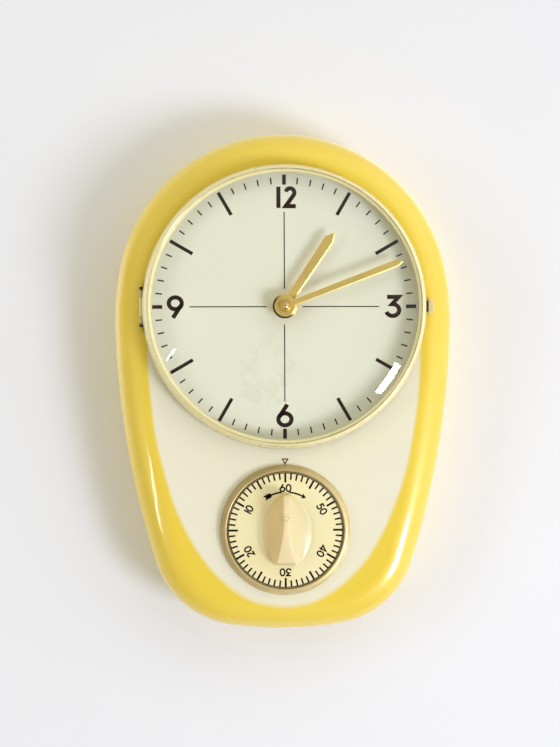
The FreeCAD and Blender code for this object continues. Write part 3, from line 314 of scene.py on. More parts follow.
def rounded(profile, radius, steps=5):
    """A closed profile with every corner rounded by an arc, or by less where the sides are short."""
    result = []
    count = len(profile)
    for index in range(count):
        previous = Vector(profile[index - 1])
        corner = Vector(profile[index])
        following = Vector(profile[(index + 1) % count])
        a = previous - corner
        b = following - corner
        angle = a.angle(b)
        if angle > radians(165):
            result.append(tuple(corner))
            continue
        reach = min(radius / max(0.05, abs(sin(angle / 2) / cos(angle / 2))), 0.45 * min(a.length, b.length))
        start = corner + a.normalized() * reach
        end = corner + b.normalized() * reach
        for step in range(steps + 1):
            t = step / steps
            point = start * (1 - t) ** 2 + corner * 2 * t * (1 - t) + end * t ** 2
            result.append(tuple(point))
    return result


def arc(cx, cz, radius_x, radius_z, start, end, steps=18):
    """Points along an ellipse from one angle to another, in degrees counterclockwise from +X."""
    points = []
    for step in range(steps + 1):
        angle = radians(start + (end - start) * step / steps)
        points.append((cx + radius_x * cos(angle), cz + radius_z * sin(angle)))
    return points


def curve(start, pull, end, steps=12):
    """Points along a parabola, from just after its start to its end."""
    points = []
    for step in range(1, steps + 1):
        t = step / steps
        points.append(tuple((1 - t) ** 2 * a + 2 * t * (1 - t) * b + t * t * c
                            for a, b, c in zip(start, pull, end)))
    return points


def turned_about(x, z, angle):
    """A point turned clockwise about the origin."""
    turn = -radians(angle)
    return x * cos(turn) - z * sin(turn), x * sin(turn) + z * cos(turn)


def clock_point(radius, angle, z0):
    """The point at a radius and a clockwise angle from twelve."""
    return radius * sin(radians(angle)), z0 + radius * cos(radians(angle))


# --- procedural materials
class Paint:
    """A material with one shader, whose inputs are named like its sockets."""

    def __init__(self, name, **sockets):
        self.material = bpy.data.materials.new(name)
        self.material.use_nodes = True
        self.tree = self.material.node_tree
        self.tree.nodes.clear()
        self.output = self.tree.nodes.new("ShaderNodeOutputMaterial")
        self.shader = self.tree.nodes.new("ShaderNodeBsdfPrincipled")
        self.tree.links.new(self.shader.outputs[0], self.output.inputs[0])
        self.place = self.tree.nodes.new("ShaderNodeTexCoord").outputs["Object"]
        for key, value in sockets.items():
            self.shader.inputs[key.replace("_", " ")].default_value = value

    def node(self, kind, output=0, props=(), **inputs):
        made = self.tree.nodes.new(kind)
        for key, value in dict(props).items():
            setattr(made, key, value)
        for key, value in inputs.items():
            socket = made.inputs[int(key[1:])] if key[0] == "i" and key[1:].isdigit() else made.inputs[key]
            self.put(socket, value)
        return made.outputs[output]

    def put(self, socket, value):
        if isinstance(value, bpy.types.NodeSocket):
            self.tree.links.new(value, socket)
        else:
            socket.default_value = value

    def set(self, name, value):
        self.put(self.shader.inputs[name], value)

    def stretched(self, x=1.0, y=1.0, z=1.0, shift=(0.0, 0.0, 0.0)):
        """Object coordinates scaled along each axis, after a shift in metres."""
        moved = self.node("ShaderNodeVectorMath", props={"operation": "SUBTRACT"}, i0=self.place, i1=shift)
        return self.node("ShaderNodeVectorMath", props={"operation": "MULTIPLY"}, i0=moved, i1=(x, y, z))

    def noise(self, size_mm, detail=3.0, roughness=0.5, where=None, distortion=0.0):
        """Noise with features about size_mm across, near 0.5 on average."""
        return self.node("ShaderNodeTexNoise", Vector=where or self.place, Scale=1000.0 / size_mm,
                         Detail=detail, Roughness=roughness, Distortion=distortion)

    def spots(self, size_mm):
        return self.node("ShaderNodeTexVoronoi", Vector=self.place, Scale=1000.0 / size_mm)

    def maths(self, operation, a, b=0.0):
        return self.node("ShaderNodeMath", props={"operation": operation}, i0=a, i1=b)

    def times(self, a, b):
        return self.maths("MULTIPLY", a, b)

    def plus(self, a, b):
        return self.maths("ADD", a, b)

    def minus(self, a, b):
        return self.maths("SUBTRACT", a, b)

    def size_of(self, a):
        return self.maths("ABSOLUTE", a)

    def remap(self, value, low, high, to_low=0.0, to_high=1.0):
        made = self.tree.nodes.new("ShaderNodeMapRange")
        for index, entry in enumerate((value, low, high, to_low, to_high)):
            self.put(made.inputs[index], entry)
        return made.outputs[0]

    def fade(self, length, low_mm, high_mm, to_low=0.0, to_high=1.0):
        """The same for a length in metres, between two lengths in millimetres."""
        return self.remap(length, low_mm * MM, high_mm * MM, to_low, to_high)

    def varied(self, low, high, size_mm, detail=3.0, roughness=0.5):
        """A value that drifts between two amounts."""
        return self.remap(self.noise(size_mm, detail, roughness), 0.3, 0.7, low, high)

    def clouded(self, a, b, size_mm, detail=3.0, roughness=0.5, high=0.7):
        """A colour that drifts between two colours."""
        return self.blend(self.remap(self.noise(size_mm, detail, roughness), 0.35, high), a, b)

    def worn(self, size_mm, low, high, most=0.5, detail=4.0, roughness=0.7):
        """Scattered patches: 0 where the noise is under low, most where it is over high."""
        return self.remap(self.noise(size_mm, detail, roughness), low, high, 0.0, most)

    def blend(self, amount, a, b):
        """Mixes two colours by amount, 0 giving a."""
        made = self.tree.nodes.new("ShaderNodeMix")
        made.data_type = "RGBA"
        self.put(made.inputs[0], amount)
        for index, value in ((6, a), (7, b)):
            linked = isinstance(value, bpy.types.NodeSocket)
            self.put(made.inputs[index], value if linked else tuple(value) + (1.0,))
        return made.outputs[2]

    def axes(self, where=None):
        made = self.tree.nodes.new("ShaderNodeSeparateXYZ")
        self.put(made.inputs[0], where or self.place)
        return made.outputs[0], made.outputs[1], made.outputs[2]

    def span(self, where):
        """How far a place is from the Y axis."""
        x, _, z = self.axes(where)
        return self.maths("SQRT", self.plus(self.times(x, x), self.times(z, z)))

    def radius_about(self, x, z):
        """Distance from the Y line through x, z, in metres."""
        return self.span(self.stretched(shift=(x * MM, 0.0, z * MM)))

    def bump(self, height, depth_mm, strength=1.0, onto=None):
        """Relief: height 0..1 stands depth_mm high."""
        made = self.tree.nodes.new("ShaderNodeBump")
        made.inputs["Strength"].default_value = strength
        made.inputs["Distance"].default_value = depth_mm * MM
        self.put(made.inputs["Height"], height)
        if onto:
            self.put(made.inputs["Normal"], onto)
        return made.outputs[0]

    def finished(self, colour, roughness, normal):
        self.set("Base Color", colour)
        self.set("Roughness", roughness)
        self.set("Normal", normal)
        return self

    def mix_with_clear(self, share, clear_colour):
        """Keeps the shader for a share of the light and lets the rest through."""
        clear = self.tree.nodes.new("ShaderNodeBsdfTransparent")
        clear.inputs[0].default_value = clear_colour
        mixer = self.tree.nodes.new("ShaderNodeMixShader")
        for index, value in enumerate((share, clear.outputs[0], self.shader.outputs[0])):
            self.put(mixer.inputs[index], value)
        self.put(self.output.inputs[0], mixer.outputs[0])


def metal_paint(name, colour, roughness, tarnish, tarnish_share=0.25, grain=(1.0, 1.0, 1.0), grain_mm=0.5,
                metallic=1.0):
    """Metal with fine grain, cloudy tarnish and uneven polish."""
    p = Paint(name, Metallic=metallic, Roughness=roughness)
    cloud = p.noise(9.0, 4.0, 0.6)
    lines = p.noise(grain_mm, 2.0, where=p.stretched(*grain))
    tinted = [channel * share for channel, share in zip(colour, tarnish)]
    base = p.blend(p.times(p.remap(cloud, 0.42, 0.72), tarnish_share), colour, tinted)
    base = p.blend(p.worn(0.8, 0.35, 0.8, 0.25, 3.0, 0.6), base, [channel * 0.8 for channel in colour])
    return p.finished(base,
                      p.remap(p.plus(cloud, p.times(lines, 0.6)), 0.5, 1.1, roughness * 0.75, roughness * 1.35),
                      p.bump(lines, 0.012, 0.5))


def darkened(p, amount, shade_colour):
    """Lay a painted shade colour over what a paint already has, and hand back its material."""
    colour = p.shader.inputs["Base Color"].links[0].from_socket
    p.set("Base Color", p.blend(amount, colour, shade_colour))
    return p.material


def hand_paint():
    """Satin brass of the hands, with painted shade round the edges of the hubs on their lower left side."""
    p = metal_paint("hand_brass_satin", (0.94, 0.69, 0.22), 0.38, (0.9, 0.86, 0.8), tarnish_share=0.5,
                    grain_mm=0.3, metallic=0.68)
    # Painted shade: the ring round the hubs' edges is darkened towards the lower left.
    radius = p.radius_about(0.0, DIAL_Z)
    edge = p.times(p.fade(radius, MINUTE_HUB_R - 0.45, MINUTE_HUB_R + 0.05),
                   p.fade(radius, HOUR_HUB_R + 0.25, HOUR_HUB_R + 0.45, 1.0, 0.0))
    x, _, z = p.axes()
    below = p.times(p.plus(x, p.minus(z, DIAL_Z * MM)), -0.7)
    darkened(p, p.times(edge, p.fade(below, -3.0, 0.5)), (0.08, 0.05, 0.01))
    return p


def plastic_paint(name, colour, second, roughness):
    """Moulded plastic: a fine tooth, faint clouding and dust in broad patches."""
    p = Paint(name, Roughness=roughness)
    cloud = p.noise(14.0, 3.0, 0.55)
    return p.finished(p.blend(p.remap(cloud, 0.35, 0.7), colour, second),
                      p.remap(cloud, 0.3, 0.7, roughness * 0.88, roughness * 1.15),
                      p.bump(p.noise(0.35, 2.0), 0.01, 0.6))


# Glaze colours: sunny yellow round the edge, warm white in the middle.
YELLOW = (0.88, 0.655, 0.065)
YELLOW_DEEP = (0.83, 0.58, 0.026)
CREAM = (0.865, 0.83, 0.615)
SPECK = (0.42, 0.30, 0.12)
FIELD_CENTRE_Z = -93.0
FIELD_HALF_X = 73.3
FIELD_HALF_Z = 141.6
FIELD_POWER = 2.1


def glaze_paint():
    p = Paint("glaze_two_colour", Roughness=0.09, Coat_Weight=0.6, Coat_Roughness=0.36, IOR=1.5)
    x, _, z = p.axes()
    across = p.maths("POWER", p.size_of(p.maths("DIVIDE", x, FIELD_HALF_X * MM)), FIELD_POWER)
    down = p.maths("DIVIDE", p.minus(z, FIELD_CENTRE_Z * MM), FIELD_HALF_Z * MM)
    down = p.maths("POWER", p.size_of(p.maths("MINIMUM", down, 0.0)), FIELD_POWER)
    edge = p.plus(p.plus(across, down), p.varied(-0.006, 0.006, 26.0, 2.0))
    above = p.fade(z, FIELD_CENTRE_Z + 4, FIELD_CENTRE_Z + 6)
    outside = p.maths("MAXIMUM", p.remap(edge, 0.975, 1.025), above)
    # The yellow is thinner, so lighter, where it meets the white, and pools deeper further out.
    pool = p.times(p.remap(edge, 1.0, 1.35), p.varied(0.35, 0.8, 34.0))
    yellow = p.blend(pool, YELLOW, YELLOW_DEEP)
    yellow = p.blend(p.worn(1.6, 0.45, 0.75, 0.16, 4.0, 0.65), yellow, (0.90, 0.71, 0.12))
    cream = p.blend(p.worn(18.0, 0.35, 0.7, 0.5, 3.0, 0.5), CREAM, (0.87, 0.84, 0.645))
    # Pinholes and kiln specks are few and tiny.
    hole = p.times(p.remap(p.spots(5.5), 0.035, 0.07, 0.55, 0.0), p.worn(11.0, 0.62, 0.66, 1.0, 1.0, 0.5))
    front = p.blend(hole, p.blend(outside, cream, yellow), SPECK)
    ripple = p.bump(p.noise(13.0, 2.0, 0.45), 0.16, 0.55)
    return p.finished(front, p.varied(0.06, 0.13, 12.0, 3.0, 0.6),
                      p.bump(p.noise(1.9, 2.0), 0.012, 0.5, onto=ripple))


def bisque_paint():
    """Unglazed earthenware with thin drifts of glaze, for the back and the inside."""
    p = Paint("bisque", Roughness=0.78)
    body = p.clouded((0.74, 0.66, 0.52), (0.63, 0.53, 0.38), 6.0, 5.0, 0.65)
    body = p.blend(p.remap(p.spots(1.3), 0.1, 0.22, 0.5, 0.0), body, (0.42, 0.33, 0.22))
    run = p.remap(p.noise(30.0, 3.0, 0.6, distortion=0.4), 0.56, 0.62)
    body = p.blend(p.times(run, 0.55), body, (0.78, 0.66, 0.30))
    return p.finished(body, p.blend(run, (0.8, 0.8, 0.8), (0.45, 0.45, 0.45)),
                      p.bump(p.noise(0.9, 4.0, 0.7), 0.05, 0.7))


STAIN_X = -10.0
STAIN_Z = DIAL_Z - 33.0


def dial_paint():
    """Matt warm white enamel, slightly yellowed, with faint water marks below the centre."""
    p = Paint("dial_enamel", Roughness=0.5, Coat_Weight=0.12, Coat_Roughness=0.3)
    base = p.clouded((0.875, 0.88, 0.73), (0.855, 0.86, 0.69), 45.0, high=0.68)
    stain = p.span(p.stretched(shift=(STAIN_X * MM, 0.0, STAIN_Z * MM)))
    ragged = p.remap(p.noise(11.0, 3.0, 0.6, distortion=0.8), 0.3, 0.7, -8.0 * MM, 8.0 * MM)
    stain = p.plus(stain, ragged)
    rim = p.times(p.fade(stain, 8.0, 11.5), p.fade(stain, 13.5, 16.0, 1.0, 0.0))
    base = p.blend(p.times(rim, 0.35), base, (0.77, 0.72, 0.55))
    base = p.blend(p.fade(p.radius_about(0.0, DIAL_Z), 9.0, 24.0, 0.3, 0.0), base, (0.78, 0.74, 0.55))
    return p.finished(base, p.varied(0.44, 0.58, 8.0), p.bump(p.noise(0.7, 3.0, 0.6), 0.008, 0.6))


def print_paint(name, colour, worn):
    """Printing ink with a soft edge of wear and slightly uneven cover."""
    p = Paint(name, Roughness=0.6, Specular_IOR_Level=0.06)
    faded = p.maths("MAXIMUM", p.worn(0.5, 0.58, 0.8, 0.5, 3.0, 0.6), p.worn(7.0, 0.35, 0.7, 0.5, 2.0, 0.5))
    return p.finished(p.blend(faded, colour, worn), p.varied(0.55, 0.7, 2.0, 2.0),
                      p.bump(p.noise(0.3, 2.0), 0.006, 0.5))


HINGE_CORNER = 12.0
GROOVE_AND_LIP_SHADE = (0.36, 0.25, 0.09)
RUBBED_AND_SHADED_IVORY = (0.62, 0.50, 0.26)
HINGE_GAP_SHADE = (0.035, 0.02, 0.008)


def ivory_paint():
    """Yellowed ivory enamel on the bezel, with painted shade in its groove, at its lip, on its outer wall, at its
    foot and at the ends of the hinge.
    """
    p = Paint("bezel_enamel", Roughness=0.3, Coat_Weight=0.3, Coat_Roughness=0.12)
    base = p.clouded((0.86, 0.785, 0.43), (0.84, 0.745, 0.37), 20.0)
    radius = p.radius_about(0.0, DIAL_Z)
    x, y, z = p.axes()
    patchy = p.remap(p.noise(9.0, 3.0, 0.6), 0.3, 0.6, 0.45, 1.0)
    # Painted shade: a brown line in the crest groove, stronger towards the right.
    groove = p.fade(p.size_of(p.minus(radius, CREST_R * MM)), 0.15, 0.5, 0.8, 0.0)
    groove = p.times(groove, p.fade(x, -60.0, 15.0, 0.1, 1.0))
    base = p.blend(p.times(groove, patchy), base, GROOVE_AND_LIP_SHADE)
    # Painted shade: a brown line at the inner lip, for the shadow gap under the crystal, stronger towards the
    # right.
    lip = p.times(p.fade(radius, LIP_R + 0.1, LIP_R + 0.4, 0.7, 0.0), p.fade(x, -20.0, 30.0, 0.15, 1.0))
    base = p.blend(lip, base, GROOVE_AND_LIP_SHADE)
    # Painted shade: the steep outer wall is darkened towards the back.
    side = p.times(p.fade(y, -52.8, -47.0, 0.0, 0.42), p.fade(radius, CREST_R + 0.7, CREST_R + 1.5))
    base = p.blend(side, base, RUBBED_AND_SHADED_IVORY)
    # Painted shade, made patchy: darker brown at the foot where the bezel meets the case.
    foot = p.fade(y, BEZEL_BACK_Y - 2.2, BEZEL_BACK_Y - 0.6, 0.0, 0.55)
    base = p.blend(p.times(foot, patchy), base, (0.36, 0.27, 0.13))
    base = p.blend(p.worn(1.1, 0.7, 0.78), base, RUBBED_AND_SHADED_IVORY)
    # Painted shade: the gaps at both ends of the hinge are painted near black.
    from_corner = p.size_of(p.minus(p.size_of(p.minus(z, DIAL_Z * MM)), HINGE_CORNER * MM))
    corner = p.times(p.fade(from_corner, 1.2, 2.4, 1.0, 0.0), p.fade(x, -73.5, -72.5, 1.0, 0.0))
    base = p.blend(p.times(corner, p.fade(y, -49.2, -47.2)), base, HINGE_GAP_SHADE)
    return p.finished(base, p.varied(0.24, 0.38, 6.0, 3.0, 0.55), p.bump(p.noise(4.0), 0.03, 0.35))


def hinge_paint():
    """Old brass of the hinge leaf, with painted shade, near black, at the outer ends of its barrel."""
    p = metal_paint("hinge_brass_aged", (0.62, 0.51, 0.24), 0.5, (0.7, 0.6, 0.45), metallic=0.5)
    along = p.size_of(p.minus(p.axes()[2], DIAL_Z * MM))
    return darkened(p, p.fade(along, 8.6, 9.4, 0.0, 0.92), HINGE_GAP_SHADE)


def knob_paint():
    """Ivory moulded plastic with painted shade on the fin's flanks and a little grime where fingers turn the fin.
    """
    p = Paint("knob_ivory_plastic", Roughness=0.34, Subsurface_Weight=0.12, Subsurface_Scale=0.003,
              Subsurface_Radius=(1.0, 0.7, 0.35))
    base = p.clouded((0.93, 0.835, 0.49), (0.915, 0.80, 0.44), 13.0)
    # Painted shade: the fin's flanks are darker than its crest, the left one more orange, set by which way the
    # surface faces.
    facing_x, facing_y, _ = p.axes(p.node("ShaderNodeTexCoord", output=1))
    flank = p.blend(p.remap(facing_x, -0.12, 0.12, 1.0, 0.0), (0.76, 0.655, 0.365), (0.82, 0.625, 0.285))
    fin = p.blend(p.remap(facing_y, -0.985, -0.90), (0.90, 0.75, 0.43), flank)
    base = p.blend(p.fade(p.axes()[1], DISC_Y[0] - 0.6, DISC_Y[0] - 0.1, 1.0, 0.0), base, fin)
    touched = p.span(p.stretched(y=0.25, shift=(-0.6 * MM, -58.0 * MM, (TIMER_Z + 7.0) * MM)))
    grime = p.times(p.fade(touched, 0.6, 4.2, 0.85, 0.0), p.worn(1.1, 0.46, 0.62, 1.0, 3.0, 0.6))
    base = p.blend(grime, base, (0.50, 0.33, 0.14))
    return p.finished(base, p.varied(0.28, 0.42, 5.0), p.bump(p.noise(0.5, 2.0), 0.006, 0.5))


def turned_brass_paint():
    """Satin brass plating on the timer's ring, with the fine circular marks of turning."""
    p = Paint("ring_brass", Metallic=0.55, Roughness=0.5)
    radius = p.radius_about(0.0, TIMER_Z)
    x, y, z = p.axes()
    along = p.tree.nodes.new("ShaderNodeCombineXYZ")
    p.put(along.inputs[0], radius)
    p.put(along.inputs[1], y)
    lines = p.noise(0.18, 2.0, 0.6, where=along.outputs[0])
    cloud = p.noise(8.0, 4.0, 0.6)
    base = p.blend(p.remap(cloud, 0.36, 0.7), (0.74, 0.61, 0.325), (0.63, 0.495, 0.235))
    base = p.blend(p.worn(1.4, 0.66, 0.78), base, (0.50, 0.36, 0.18))
    # Painted shade: the ring is darkened towards the upper left.
    slant = p.minus(p.times(x, 0.8), p.times(p.minus(z, TIMER_Z * MM), 0.6))
    base = p.blend(p.fade(slant, -30.0, 18.0, 0.62, 0.0), base, (0.40, 0.305, 0.13))
    return p.finished(base, p.remap(p.plus(lines, cloud), 0.7, 1.3, 0.40, 0.54), p.bump(lines, 0.01, 0.5))


def crystal_paint():
    """A clear acrylic crystal: it lets the dial through and keeps its gloss on the outer side."""
    p = Paint("crystal_acrylic", Metallic=1.0, Roughness=0.03, Base_Color=(1.0, 1.0, 1.0, 1.0))
    gloss = p.node("ShaderNodeFresnel", IOR=1.43)
    behind = p.node("ShaderNodeNewGeometry", output=6)
    haze = p.worn(3.0, 0.62, 0.8, 0.004)
    p.mix_with_clear(p.plus(p.times(gloss, p.minus(1.0, behind)), haze), (0.985, 0.988, 0.975, 1.0))
    p.set("Roughness", p.varied(0.004, 0.012, 5.0, 3.0, 0.6))
    p.set("Normal", p.bump(p.noise(60.0, 0.0, 0.4), 0.006, 0.1))
    return p


def jacket_paint():
    """The battery's printed steel jacket: dark blue with a metal band at the plus end."""
    p = Paint("cell_jacket_print", Roughness=0.3, Metallic=0.35, Coat_Weight=0.4, Coat_Roughness=0.15)
    x = p.axes()[0]
    scuff = p.remap(p.noise(0.9, 4.0, 0.7, where=p.stretched(x=0.3)), 0.6, 0.75, 0.0, 0.5)
    base = p.blend(p.fade(x, 12.0, 12.2), (0.035, 0.07, 0.16), (0.62, 0.36, 0.15))
    base = p.blend(p.times(p.fade(x, 9.5, 9.6), p.fade(x, 10.6, 10.7, 1.0, 0.0)), base, (0.78, 0.76, 0.70))
    base = p.blend(scuff, base, (0.35, 0.35, 0.36))
    base = p.blend(p.fade(p.size_of(x), 23.8, 24.0), base, (0.66, 0.65, 0.62))
    return p.finished(base, p.varied(0.22, 0.42, 3.0), p.bump(p.noise(2.5), 0.02, 0.5))


def board_paint():
    """Brown paper-phenolic board with lighter fibres, and dark parts standing on it."""
    p = Paint("circuit_board_phenolic", Roughness=0.5)
    fibre = p.noise(0.9, 4.0, 0.7, where=p.stretched(z=0.15))
    base = p.blend(p.remap(fibre, 0.35, 0.7), (0.38, 0.20, 0.07), (0.52, 0.31, 0.13))
    base = p.blend(p.fade(p.axes()[1], -14.05, -13.95), base, (0.05, 0.05, 0.055))
    return p.finished(base, p.remap(fibre, 0.3, 0.7, 0.35, 0.6), p.bump(fibre, 0.02, 0.5))


def coil_paint():
    """Enamelled copper wire, wound round in fine turns."""
    p = Paint("coil_copper_wire", Metallic=1.0, Roughness=0.28)
    wire = p.noise(0.25, 1.0, 0.4, where=p.stretched(y=0.1))
    return p.finished(p.blend(p.remap(wire, 0.35, 0.65), (0.68, 0.28, 0.12), (0.42, 0.14, 0.05)),
                      p.remap(wire, 0.3, 0.7, 0.2, 0.4),
                      p.bump(wire, 0.04, 0.8))


def wall_paint():
    """Smooth white plaster, see-through from behind."""
    p = Paint("wall_plaster", Roughness=0.85)
    fine = p.noise(2.2, 4.0, 0.6)
    in_front = p.minus(1.0, p.node("ShaderNodeNewGeometry", output=6))
    p.mix_with_clear(in_front, (1.0, 1.0, 1.0, 1.0))
    return p.finished(p.clouded((0.835, 0.843, 0.85), (0.825, 0.833, 0.838), 160.0, high=0.68),
                      p.remap(fine, 0.3, 0.7, 0.78, 0.9), p.bump(fine, 0.05, 0.25))


PAINTS = {
    "glaze": glaze_paint(),
    "zinc_steel": metal_paint("zinc_steel_sheet", (0.60, 0.61, 0.62), 0.36, (0.75, 0.7, 0.6)),
    "screw_steel": metal_paint("screw_steel_turned", (0.52, 0.51, 0.49), 0.3, (0.6, 0.5, 0.4)),
    "pan_lacquer": metal_paint("pan_lacquer_gold", (0.62, 0.52, 0.30), 0.42, (0.7, 0.6, 0.45)),
    "dial_paint": dial_paint(),
    "bezel_ivory": ivory_paint(),
    "crystal_clear": crystal_paint(),
    "brass_satin": hand_paint(),
    "brass_plate": metal_paint("brass_plate_rolled", (0.76, 0.58, 0.27), 0.3, (0.7, 0.6, 0.45),
                               grain=(1.0, 1.0, 0.06)),
    "brass_ring": turned_brass_paint(),
    "knob_ivory": knob_paint(),
    "cover_plastic": plastic_paint("cover_grey_plastic", (0.50, 0.50, 0.47), (0.44, 0.43, 0.39), 0.46),
    "holder_plastic": plastic_paint("holder_black_plastic", (0.035, 0.034, 0.033), (0.055, 0.052, 0.048), 0.42),
    "board": board_paint(),
    "coil_copper": coil_paint(),
    "spring_steel": metal_paint("spring_steel_blued", (0.34, 0.36, 0.42), 0.25, (0.7, 0.6, 0.5)),
    "cell_jacket": jacket_paint(),
    "bell_nickel": metal_paint("bell_nickel_plated", (0.66, 0.64, 0.60), 0.2, (0.75, 0.66, 0.5)),
}
BISQUE = bisque_paint().material
INK_DIAL = print_paint("dial_ink", (0.024, 0.006, 0.003), (0.042, 0.015, 0.008)).material
INK_SCALE = print_paint("scale_ink", (0.006, 0.005, 0.004), (0.02, 0.016, 0.011)).material
INK_MARK = print_paint("mark_ink", (0.07, 0.008, 0.006), (0.11, 0.02, 0.015)).material
# Tarnish and painted shade for the lug's neck in its gap.
TARNISH_AND_SHADE = metal_paint("tarnished_shaded_neck", (0.20, 0.12, 0.05), 0.5, (0.5, 0.45, 0.4)).material
HINGE_BRASS = hinge_paint()
NUT_BRASS = metal_paint("nut_brass_polished", (0.80, 0.58, 0.20), 0.12, (0.7, 0.6, 0.45)).material

for node in NODES.values():
    for entry in node.material_slots:
        if entry.material and entry.material.name in PAINTS:
            entry.material = PAINTS[entry.material.name].material

for entry in NODES["hinge_leaf"].material_slots:
    entry.material = HINGE_BRASS


def paint(slot):
    return PAINTS[slot].material


# --- ceramic case
def half_arcs():
    """The outline's tangent arcs down one side: centre, radius, start and turn."""
    arcs = []
    x, z, heading = 0.0, CASE_TOP, 0.0
    closing_turn = 180.0 - sum(turn for radius, turn in CASE_ARCS)
    for radius, turn in CASE_ARCS + [(None, closing_turn)]:
        if radius is None:
            radius = x / sin(radians(turn))
        centre_x = x - radius * sin(radians(heading))
        centre_z = z - radius * cos(radians(heading))
        arcs.append((centre_x, centre_z, radius, heading, turn))
        heading += turn
        x = centre_x + radius * sin(radians(heading))
        z = centre_z + radius * cos(radians(heading))
    return arcs


def outline_stations():
    """Points clockwise round the case's outline, each with its outward direction."""
    stations = []
    for centre_x, centre_z, radius, start, turn in half_arcs():
        steps = max(6, int(radians(turn) * radius / 2.6))
        for step in range(steps):
            angle = radians(start + turn * step / steps)
            nx, nz = sin(angle), cos(angle)
            stations.append((centre_x + radius * nx, centre_z + radius * nz, nx, nz))
    bottom = half_arcs()[-1]
    stations.append((0.0, bottom[1] - bottom[2], 0.0, -1.0))
    mirrored = [(-x, z, -nx, nz) for x, z, nx, nz in stations[1:-1]][::-1]
    return stations + mirrored


STATIONS = outline_stations()


def inset_loop(inset):
    return [(x - nx * inset, z - nz * inset) for x, z, nx, nz in STATIONS]


def edge_rows(inset_start, inset_end, y_start, y_end, steps):
    """Insets and depths along a rounded edge, from the wall to the face."""
    rows = []
    for step in range(1, steps + 1):
        angle = pi / 2 * step / steps
        sideways = cos(angle) if step < steps else 0.0
        rows.append((inset_start + (inset_end - inset_start) * (1 - sideways),
                     y_start + (y_end - y_start) * sin(angle)))
    return rows


def rear_opening():
    """The rear opening: the outline moved in, cut off by the hanger's web."""
    kept = [(x, z) for x, z in inset_loop(REAR_OPENING_INSET) if z < HANGER_WEB_BOTTOM]
    right = min((p for p in kept if p[0] > 0), key=lambda p: -p[1])
    left = min((p for p in kept if p[0] < 0), key=lambda p: -p[1])
    start = kept.index(right)
    ordered = kept[start:] + kept[:start]
    if ordered[-1] != left:
        ordered = [ordered[0]] + ordered[:0:-1]
    return ordered + [(left[0] + (right[0] - left[0]) * step / WEB_STEPS, HANGER_WEB_BOTTOM)
                      for step in range(WEB_STEPS + 1)]


def add_tube(bm, points, y_front, y_back):
    """The wall of an opening in the bare clay. Returns its front and back rings."""
    front = ring_at(bm, points, y_front)
    back = ring_at(bm, points, y_back)
    quad_strip(bm, front, back, slot=BARE)
    return front, back


def build_case(bm):
    outer = [(BACK_ROUND, 0.0)]
    outer += [(BACK_ROUND * (1 - sin(pi * k / 8)), -BACK_ROUND * (1 - cos(pi * k / 8))) for k in range(1, 5)]
    wall_end = CASE_FRONT + FRONT_ROUND
    outer += [(0.0, wall_end * share) for share in (0.35, 0.7, 1.0)]
    outer += edge_rows(0.0, FRONT_ROUND, wall_end, CASE_FRONT, 22)
    outer += [(FRONT_ROUND + 0.5, CASE_FRONT)]
    rows = [ring_at(bm, inset_loop(inset), y) for inset, y in outer]
    quad_strips(bm, rows[:3], BARE)
    quad_strips(bm, rows[2:], GLAZED)

    inner_front = -(CASE_DEPTH - CASE_WALL)
    inner_end = inner_front + FRONT_ROUND - CASE_WALL
    inner = [(CASE_WALL, -REAR_RIM), (CASE_WALL, inner_end)]
    inner += edge_rows(CASE_WALL, FRONT_ROUND, inner_end, inner_front, 8)
    inside = [ring_at(bm, inset_loop(inset), y) for inset, y in inner]
    quad_strips(bm, inside, BARE)

    dial_front, dial_back = add_tube(bm, circle(DIAL_HOLE_R, 0, DIAL_Z, 120), CASE_FRONT, inner_front)
    timer_front, timer_back = add_tube(bm, circle(TIMER_HOLE_R, 0, TIMER_Z), CASE_FRONT, inner_front)
    open_front, open_back = add_tube(bm, rear_opening(), -REAR_RIM, 0.0)
    x0, x1, z0, z1 = HANGER_PLATE
    corners = [(x0, z0), (x1, z0), (x1, z1), (x0, z1)]
    recess_floor, recess_back = add_tube(bm, corners, -HANGER_PLATE_T, 0.0)
    nail_front, nail_floor = add_tube(bm, circle(NAIL_CLEARANCE_R, count=48), -REAR_RIM, -HANGER_PLATE_T)
    fill(bm, [rows[-1], dial_front, timer_front], GLAZED)
    fill(bm, [inside[-1], dial_back, timer_back], BARE)
    fill(bm, [rows[0], open_back, recess_back], BARE)
    fill(bm, [recess_floor, nail_floor], BARE)
    fill(bm, [inside[0], open_front, nail_front], BARE)


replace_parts(new_piece("case_shell", build_case, [paint("glaze"), BISQUE], "root", sharp=40),
            "ceramic_case")


# --- bezel and crystal
def add_rod_z(bm, radius, x, y, z0, z1, bevel=0.2, turns=32):
    """A round bar along Z with softened ends."""
    rows = []
    for r, z in ((radius - bevel, z0), (radius, z0 + bevel), (radius, z1 - bevel), (radius - bevel, z1)):
        rows.append([bm.verts.new((x + r * cos(2 * pi * k / turns), y + r * sin(2 * pi * k / turns), z))
                     for k in range(turns)])
    quad_strips(bm, rows)
    bm.faces.new(rows[0])
    bm.faces.new(rows[-1])


